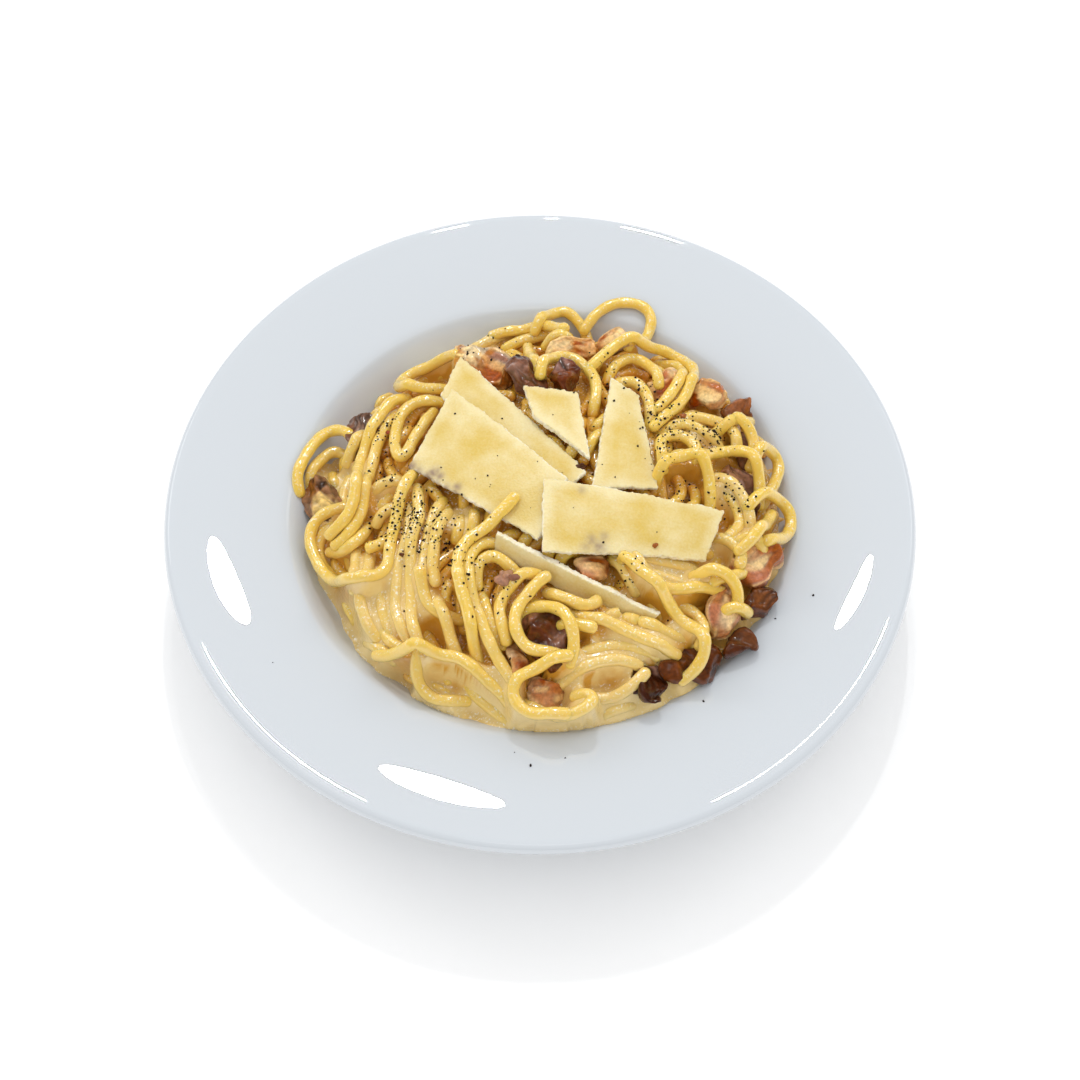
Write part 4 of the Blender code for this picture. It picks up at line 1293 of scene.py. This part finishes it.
def build_cheese(settings):
    """Six shavings with waxy faces, paler towards their edges, and crumbs along them."""
    material = hard_cheese(settings.cheese, settings.crumb)
    for number, node in enumerate(nodes_called("shaving")):
        bm, spots, _, axes = refined(node, 0.45)
        normals = np.array([vert.normal[:] for vert in bm.verts])
        flat = np.abs(normals @ axes[2])
        rim = np.nonzero(flat < 0.55)[0]
        near = KDTree(len(rim))
        for count, index in enumerate(rim):
            near.insert(spots[index], count)
        near.balance()
        edge, dry = [], []
        for vert, spot, level in zip(bm.verts, spots, flat):
            distance = near.find(spot)[2]
            patchy = 0.5 + 0.5 * rough(spot, 14.0, number + 40.0)
            edge.append(1.1 * min(1.0, 0.35 + patchy) - distance / (0.2 + 0.6 * patchy))
            dry.append(max(0.0, 0.6 - distance / (4.0 + 8.0 * patchy)))
            push = 0.10 * rough(spot, 5.0)
            if level < 0.7:
                push += 0.45 * rough(spot, 1.3, 2.0) + 0.5 * rough(spot, 5.0, 5.0)
            elif distance < 1.4:
                push += (1.0 - distance / 1.4) * (0.30 * rough(spot, 0.9, 7.0) - 0.1)
            vert.co += vert.normal * push
        cheese = new_object(node.name.replace("shaving", "cheese"), bm, material)
        paint(cheese, "edge", np.clip(edge, -0.4, 1.0))
        paint(cheese, "dry", dry)
        marks = SHOW_THROUGH.get(node.name, ())
        paint(cheese, "stain", np.clip([stained(spot, marks) for spot in spots], 0.0, 1.0))
        serve(cheese, "hard_cheese", node.name)


def painted(spot, base, patches, seed):
    """The colour at a point of a food that has patches of other colours, with ragged borders."""
    colour, total = 0.3 * base, 0.3
    ragged = 1.0 + 0.55 * rough(spot, 1.8, seed)
    for (x, y), reach, patch in patches:
        distance = math.hypot(spot[0] - x, spot[1] - y) / (reach * ragged)
        weight = 4.0 * math.exp(-1.6 * distance**3)
        colour = colour + weight * patch
        total += weight
    return colour / total


def paint_tint(obj, spots, look, seed, streaks=None):
    """Stores the colours painted on a food, and its streaks of fat or lean, for the material."""
    base, rows = look
    base = np.array(linear(base))
    patches = [(place, reach, np.array(linear(colour))) for place, reach, colour in rows]
    layer = obj.data.attributes.new("tint", "FLOAT_COLOR", "POINT")
    tints = np.array([painted(spot, base, patches, seed) for spot in spots], np.float32)
    if streaks is not None:
        streaks = np.clip(np.array(streaks), -1.0, 1.0)[:, None]
        other = np.where(streaks > 0.0, np.array(linear("E4C892")), np.array(linear("964E28")))
        tints = tints + 0.5 * np.abs(streaks) * (other - tints)
    layer.data.foreach_set("color", tints.astype(np.float32).ravel())


def crumple(bm, spots, middle, growth, reach, size, seed):
    """Enlarges a food and pulls it out of shape, so that its outline turns irregular."""
    turn = Vector((seed, 2.3 * seed, 0.7 * seed))
    noise.seed_set(CRUMPLE_SEED)  # without it, noise_vector takes its offsets from the clock
    for vert, spot in zip(bm.verts, spots):
        pull = noise.noise_vector(Vector(spot) / size + turn)
        vert.co += Vector((spot - middle) * growth) + pull * reach
    bm.normal_update()


def build_bacon():
    """Lardons: irregular chunks with sunk seams between lean and fat, and fibres along them."""
    material = cooked_bacon()
    for number, node in enumerate(nodes_called("bacon")):
        bm, spots, middle, axes = refined(node, 0.5)
        local = (spots - middle) @ axes.T
        crumple(bm, spots, middle, 0.06, 2.4, 8.0, number + 1.0)
        creases, streaks = [], []
        for vert, (u, v, w) in zip(bm.verts, local):
            fibre = rough((u / 3.0, v, w), 1.2, number)
            band = rough((u / 5.0, v, w), 2.6, number + 6.0)
            fold = max(0.0, 1.0 - 5.0 * abs(band))
            vert.co += vert.normal * (0.25 * fibre + 0.3 * band - 0.25 * fold)
            # painted shade: darker in the sunk seams between lean and fat, varying with the fibres
            creases.append(0.3 * fold + 0.15 * fibre)
            streaks.append(3.2 * band)
        lardon = new_object(node.name.replace("bacon", "lardon"), bm, material)
        paint_tint(lardon, spots, BACON_LOOKS[number], number, streaks)
        paint(lardon, "crease", np.clip(creases, 0.0, 0.8))
        serve(lardon, "bacon", node.name)


def build_mushrooms():
    """Slices of mushroom, pulled crooked and wrinkled, with rows of dark gills across them."""
    material = cooked_mushroom()
    for number, node in enumerate(nodes_called("mushroom")):
        bm, spots, middle, axes = refined(node, 0.5)
        local = (spots - middle) @ axes.T
        crumple(bm, spots, middle, 0.25, 2.8, 5.5, number + 31.0)
        creases = []
        for vert, spot, (u, v, w) in zip(bm.verts, spots, local):
            bent = v + 2.2 * rough(spot, 4.0, number + 12.0)
            gill = 0.5 + 0.5 * math.sin(2.0 * math.pi * bent / 1.9)
            gill *= max(0.0, min(1.0, 0.2 + 2.5 * rough(spot, 5.0, number + 4.0)))
            wrinkle = rough((u / 2.0, v, w), 1.8, number + 8.0)
            hollow = max(0.0, 1.0 - 3.0 * abs(rough(spot, 5.5, number + 20.0)))
            vert.co += vert.normal * (0.2 + 0.3 * wrinkle - 0.35 * gill - 0.9 * hollow)
            # painted shade, partly the gills' own dark colour: darker in the gills and sunk hollows,
            # lighter on the raised wrinkles
            creases.append(0.45 * gill - 0.25 * wrinkle + 0.35 * hollow)
        slice_ = new_object(node.name.replace("mushroom", "mushroom_slice"), bm, material)
        paint_tint(slice_, spots, MUSHROOM_LOOKS[number], number + 30.0)
        paint(slice_, "crease", np.clip(creases, 0.0, 0.85))
        serve(slice_, "mushroom", node.name)


# Crumbs of bacon and mushroom: (x, y), radius and colour
SCRAPS = (
    ((14.0, 1.0), 1.3, "4A2A18"), ((-11.5, -41.0), 2.6, "9A7460"), ((-53.5, 22.0), 0.7, "8A4024"),
    ((-8.5, -42.0), 1.4, "7A5444"), ((15.0, -37.0), 1.6, "8A5A40"), ((38.0, -30.0), 0.8, "8A5230"),
    ((-46.0, -30.0), 0.8, "5A3420"), ((50.0, 26.0), 1.0, "8A5434"), ((-17.0, 63.0), 1.2, "8A5C40"),
)


def build_scraps():
    """Crumbs of bacon and mushroom that fell off the larger pieces."""
    kinds = ("strands_", "cream_sauce", "cheese_")
    tree = tree_of([o for o in bpy.context.scene.objects if o.name.startswith(kinds)])
    bm = bmesh.new()
    colours = []
    for number, ((x, y), size, colour) in enumerate(SCRAPS):
        around = ((0, 0), (2, 0), (-2, 0), (0, 2), (0, -2))
        starts = [Vector((x + dx, y + dy, OVER_ALL)) for dx, dy in around]
        hits = [tree.ray_cast(start, DOWN)[0] for start in starts]
        hit = Vector((x, y, max(spot.z for spot in hits) - 0.35 * size))
        place = Matrix.Translation(hit) @ Matrix.Diagonal((1.2, 0.9, 0.7, 1.0))
        lump = bmesh.ops.create_icosphere(bm, subdivisions=3, radius=size, matrix=place)
        for vert in lump["verts"]:
            away = (vert.co - hit).normalized()
            vert.co += away * size * 0.7 * rough(vert.co, 0.9 * size, number)
            colours.append(linear(colour))
    scraps = new_object("topping_scraps", bm, cooked_bacon())
    layer = scraps.data.attributes.new("tint", "FLOAT_COLOR", "POINT")
    layer.data.foreach_set("color", np.array(colours, np.float32).ravel())
    paint(scraps, "crease", np.zeros(len(colours)))
    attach(scraps, "root")


# ---- pepper ----------------------------------------------------------------------------------
def build_pepper(settings):
    """Cracked pepper scattered from above onto whatever is on top."""
    kinds = ("strands_", "cream_sauce", "cheese_", "lardon_", "mushroom_slice", "glazed_plate")
    food = [o for o in bpy.context.scene.objects if o.name.startswith(kinds)]
    tree = tree_of(food)
    cheese = tree_of([o for o in food if o.name.startswith("cheese_")])
    rng = random.Random(settings.seed)
    bm = bmesh.new()
    for (cx, cy), spread, count in PEPPERED:
        for _ in range(count):
            x, y = rng.gauss(cx, 0.62 * spread), rng.gauss(cy, 0.62 * spread)
            start = Vector((x, y, OVER_ALL))
            size = SMALLEST_GRAIN + GRAIN_RANGE * rng.random() ** 2.0
            hit, normal, _, _ = tree.ray_cast(start, DOWN)
            if hit is None or normal.z < 0.15:
                continue
            if cheese.ray_cast(start, DOWN)[0] and rng.random() < OFF_CHEESE:
                continue
            angle, axis = rng.uniform(0.0, 6.28), Vector((rng.random(), rng.random(), 0.3))
            turn = Matrix.Rotation(angle, 4, axis)
            stretch = Matrix.Diagonal((1.0, rng.uniform(0.55, 1.0), rng.uniform(0.45, 0.9), 1.0))
            place = Matrix.Translation(hit + normal * size * 0.35) @ turn @ stretch
            grain = bmesh.ops.create_icosphere(bm, subdivisions=1, radius=size, matrix=place)
            for vert in grain["verts"]:
                vert.co += Vector([rng.uniform(-0.22, 0.22) * size for _ in range(3)])
    pepper = new_object("pepper_grains", bm, cracked_pepper(settings.pepper), smooth=False)
    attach(pepper, "root")
    return pepper


# ---- stage -----------------------------------------------------------------------------------
def softbox(name, place, target, size, radiance):
    """An oval lamp behind diffusing cloth, facing the target."""
    light = bpy.data.lights.new(name, "AREA")
    light.shape = "ELLIPSE"
    light.size, light.size_y = size
    light.energy = radiance * math.pi * (0.25 * math.pi * size[0] * size[1])
    obj = bpy.data.objects.new(name, light)
    obj.location = place
    obj.rotation_euler = (Vector(target) - Vector(place)).to_track_quat("-Z", "Y").to_euler()
    bpy.context.scene.collection.objects.link(obj)
    return obj


def build_stage(settings):
    """A pale table, softboxes, small lamps for the highlights, light all round, and the camera."""
    scene = bpy.context.scene
    scene.view_settings.view_transform = "Standard"
    world = bpy.data.worlds.new("studio")
    world.use_nodes = True
    background = world.node_tree.nodes["Background"]
    background.inputs["Color"].default_value = settings.surround
    background.inputs["Strength"].default_value = settings.surround_strength
    world.cycles_visibility.glossy = False  # reflections show the lamps against a dark room
    scene.world = world

    bm = bmesh.new()
    bmesh.ops.create_grid(bm, x_segments=1, y_segments=1, size=TABLE_HALF)
    new_object("table_top", bm, pale_table(settings.table), smooth=False)

    centre = (0.0, 0.0, 0.03)
    for name, place, size, share in SOFTBOXES:
        softbox("softbox_" + name, place, centre, size, share * settings.key_radiance)
    for number, (place, size) in enumerate(STRIP_LIGHTS):
        softbox("strip_%d" % (number + 1), place, centre, size, settings.strip_radiance)

    camera = bpy.data.objects.new("camera", bpy.data.cameras.new("camera"))
    camera.data.lens = CAMERA_LENS
    camera.data.sensor_width = CAMERA_SENSOR
    camera.location = CAMERA_PLACE
    camera.rotation_euler = (math.radians(CAMERA_TILT), 0.0, 0.0)
    scene.collection.objects.link(camera)
    scene.camera = camera


# ---- add-on ----------------------------------------------------------------------------------
def colour_setting(name, description, hex_colour):
    """A colour that the user can change."""
    return bpy.props.FloatVectorProperty(
        name=name, description=description, default=linear(hex_colour), size=4, subtype="COLOR"
    )


class CarbonaraPlate(bpy.types.PropertyGroup):
    porcelain: colour_setting("Porcelain", "Colour of the glazed porcelain", "C8CDD2")


class CarbonaraPasta(bpy.types.PropertyGroup):
    thickness: bpy.props.FloatProperty(
        name="Strand thickness",
        description="Diameter of a strand with the sauce on it",
        default=4.2 * MM,
        unit="LENGTH",
        precision=4,
    )
    seed: bpy.props.IntProperty(name="Seed", description="Layout of the hidden strands", default=11)
    clean: colour_setting("Pasta", "Colour of the bare strands", "F5CE50")
    creamy: colour_setting("Coated pasta", "Colour of the strands under sauce", "F1D07A")


class CarbonaraSauce(bpy.types.PropertyGroup):
    # also the colour of the painted shade where sauce lies deep between the strands
    deep: colour_setting("Thin sauce", "Colour where the sauce is thin and oily", "D89C30")
    creamy: colour_setting("Thick sauce", "Colour where the sauce is thick", "EED088")
    fineness: bpy.props.FloatProperty(
        name="Mesh size",
        description="Width of the sauce's faces",
        default=0.62 * MM,
        unit="LENGTH",
        precision=4,
    )


class CarbonaraToppings(bpy.types.PropertyGroup):
    cheese: colour_setting("Cheese", "Colour of the shavings' faces", "D4B65A")
    crumb: colour_setting("Crumbled edge", "Colour of the cheese's broken edges", "EEE6CC")


class CarbonaraPepper(bpy.types.PropertyGroup):
    seed: bpy.props.IntProperty(name="Seed", description="Where the grains fall", default=5)
    pepper: colour_setting("Pepper", "Colour of the grains", "2A1A14")


class CarbonaraStage(bpy.types.PropertyGroup):
    table: colour_setting("Table", "Colour of the table top", "F7F7F7")
    surround: colour_setting("Surround", "Colour of the soft light all round", "FFFFFF")
    surround_strength: bpy.props.FloatProperty(
        name="Surround strength", description="Strength of the light all round", default=1.07
    )
    key_radiance: bpy.props.FloatProperty(
        name="Softboxes", description="Brightness of the large lamps", default=1.7
    )
    strip_radiance: bpy.props.FloatProperty(
        name="Strip lamps", description="Brightness of the small far lamps", default=560.0
    )


class AddPlate(bpy.types.Operator):
    """Add the porcelain plate"""

    bl_idname = "carbonara.add_plate"
    bl_label = "Add plate"

    def execute(self, context):
        build_plate(context.scene.carbonara_plate)
        return {"FINISHED"}


class AddSpaghetti(bpy.types.Operator):
    """Add every strand of spaghetti"""

    bl_idname = "carbonara.add_spaghetti"
    bl_label = "Add spaghetti"

    def execute(self, context):
        build_spaghetti(context.scene.carbonara_pasta)
        return {"FINISHED"}


class AddSauce(bpy.types.Operator):
    """Add the cream sauce between the strands"""

    bl_idname = "carbonara.add_sauce"
    bl_label = "Add sauce"

    def execute(self, context):
        build_sauce(context.scene.carbonara_sauce)
        return {"FINISHED"}


class AddCheese(bpy.types.Operator):
    """Add the shavings of hard cheese"""

    bl_idname = "carbonara.add_cheese"
    bl_label = "Add cheese"

    def execute(self, context):
        build_cheese(context.scene.carbonara_toppings)
        return {"FINISHED"}


class AddBacon(bpy.types.Operator):
    """Add the lardons of bacon"""

    bl_idname = "carbonara.add_bacon"
    bl_label = "Add bacon"

    def execute(self, context):
        build_bacon()
        return {"FINISHED"}


class AddScraps(bpy.types.Operator):
    """Add the crumbs of bacon and mushroom"""

    bl_idname = "carbonara.add_scraps"
    bl_label = "Add crumbs"

    def execute(self, context):
        build_scraps()
        return {"FINISHED"}


class AddMushrooms(bpy.types.Operator):
    """Add the slices of mushroom"""

    bl_idname = "carbonara.add_mushrooms"
    bl_label = "Add mushrooms"

    def execute(self, context):
        build_mushrooms()
        return {"FINISHED"}


class AddPepper(bpy.types.Operator):
    """Scatter the cracked pepper"""

    bl_idname = "carbonara.add_pepper"
    bl_label = "Add pepper"

    def execute(self, context):
        build_pepper(context.scene.carbonara_pepper)
        return {"FINISHED"}


class AddStage(bpy.types.Operator):
    """Set the table, the lights and the camera"""

    bl_idname = "carbonara.add_stage"
    bl_label = "Add stage"

    def execute(self, context):
        build_stage(context.scene.carbonara_stage)
        return {"FINISHED"}


GROUPS = {
    "carbonara_plate": CarbonaraPlate,
    "carbonara_pasta": CarbonaraPasta,
    "carbonara_sauce": CarbonaraSauce,
    "carbonara_toppings": CarbonaraToppings,
    "carbonara_pepper": CarbonaraPepper,
    "carbonara_stage": CarbonaraStage,
}
OPERATORS = (
    AddPlate, AddSpaghetti, AddSauce, AddCheese, AddBacon, AddScraps, AddMushrooms, AddPepper,
    AddStage,
)


class CarbonaraPanel(bpy.types.Panel):
    """Lists the dish's settings and steps"""

    bl_label = "Spaghetti carbonara"
    bl_idname = "VIEW3D_PT_carbonara"
    bl_space_type = "VIEW_3D"
    bl_region_type = "UI"
    bl_category = "Carbonara"

    def draw(self, context):
        for name, group in GROUPS.items():
            box = self.layout.box()
            for setting in group.__annotations__:
                box.prop(getattr(context.scene, name), setting)
        for operator in OPERATORS:
            self.layout.operator(operator.bl_idname)


def register():
    """Adds the dish's settings, steps and panel."""
    for kind in (*GROUPS.values(), *OPERATORS, CarbonaraPanel):
        bpy.utils.register_class(kind)
    for name, group in GROUPS.items():
        setattr(bpy.types.Scene, name, bpy.props.PointerProperty(type=group))


def unregister():
    """Takes them away again."""
    for name in GROUPS:
        delattr(bpy.types.Scene, name)
    for kind in (CarbonaraPanel, *reversed(OPERATORS), *reversed(list(GROUPS.values()))):
        bpy.utils.unregister_class(kind)


def main():
    """Makes the whole dish and its stage."""
    register()
    steps = bpy.ops.carbonara
    for step in (
        steps.add_plate, steps.add_spaghetti, steps.add_sauce, steps.add_cheese,
        steps.add_bacon, steps.add_scraps, steps.add_mushrooms, steps.add_pepper, steps.add_stage,
    ):
        step()


if __name__ == "__main__":
    main()
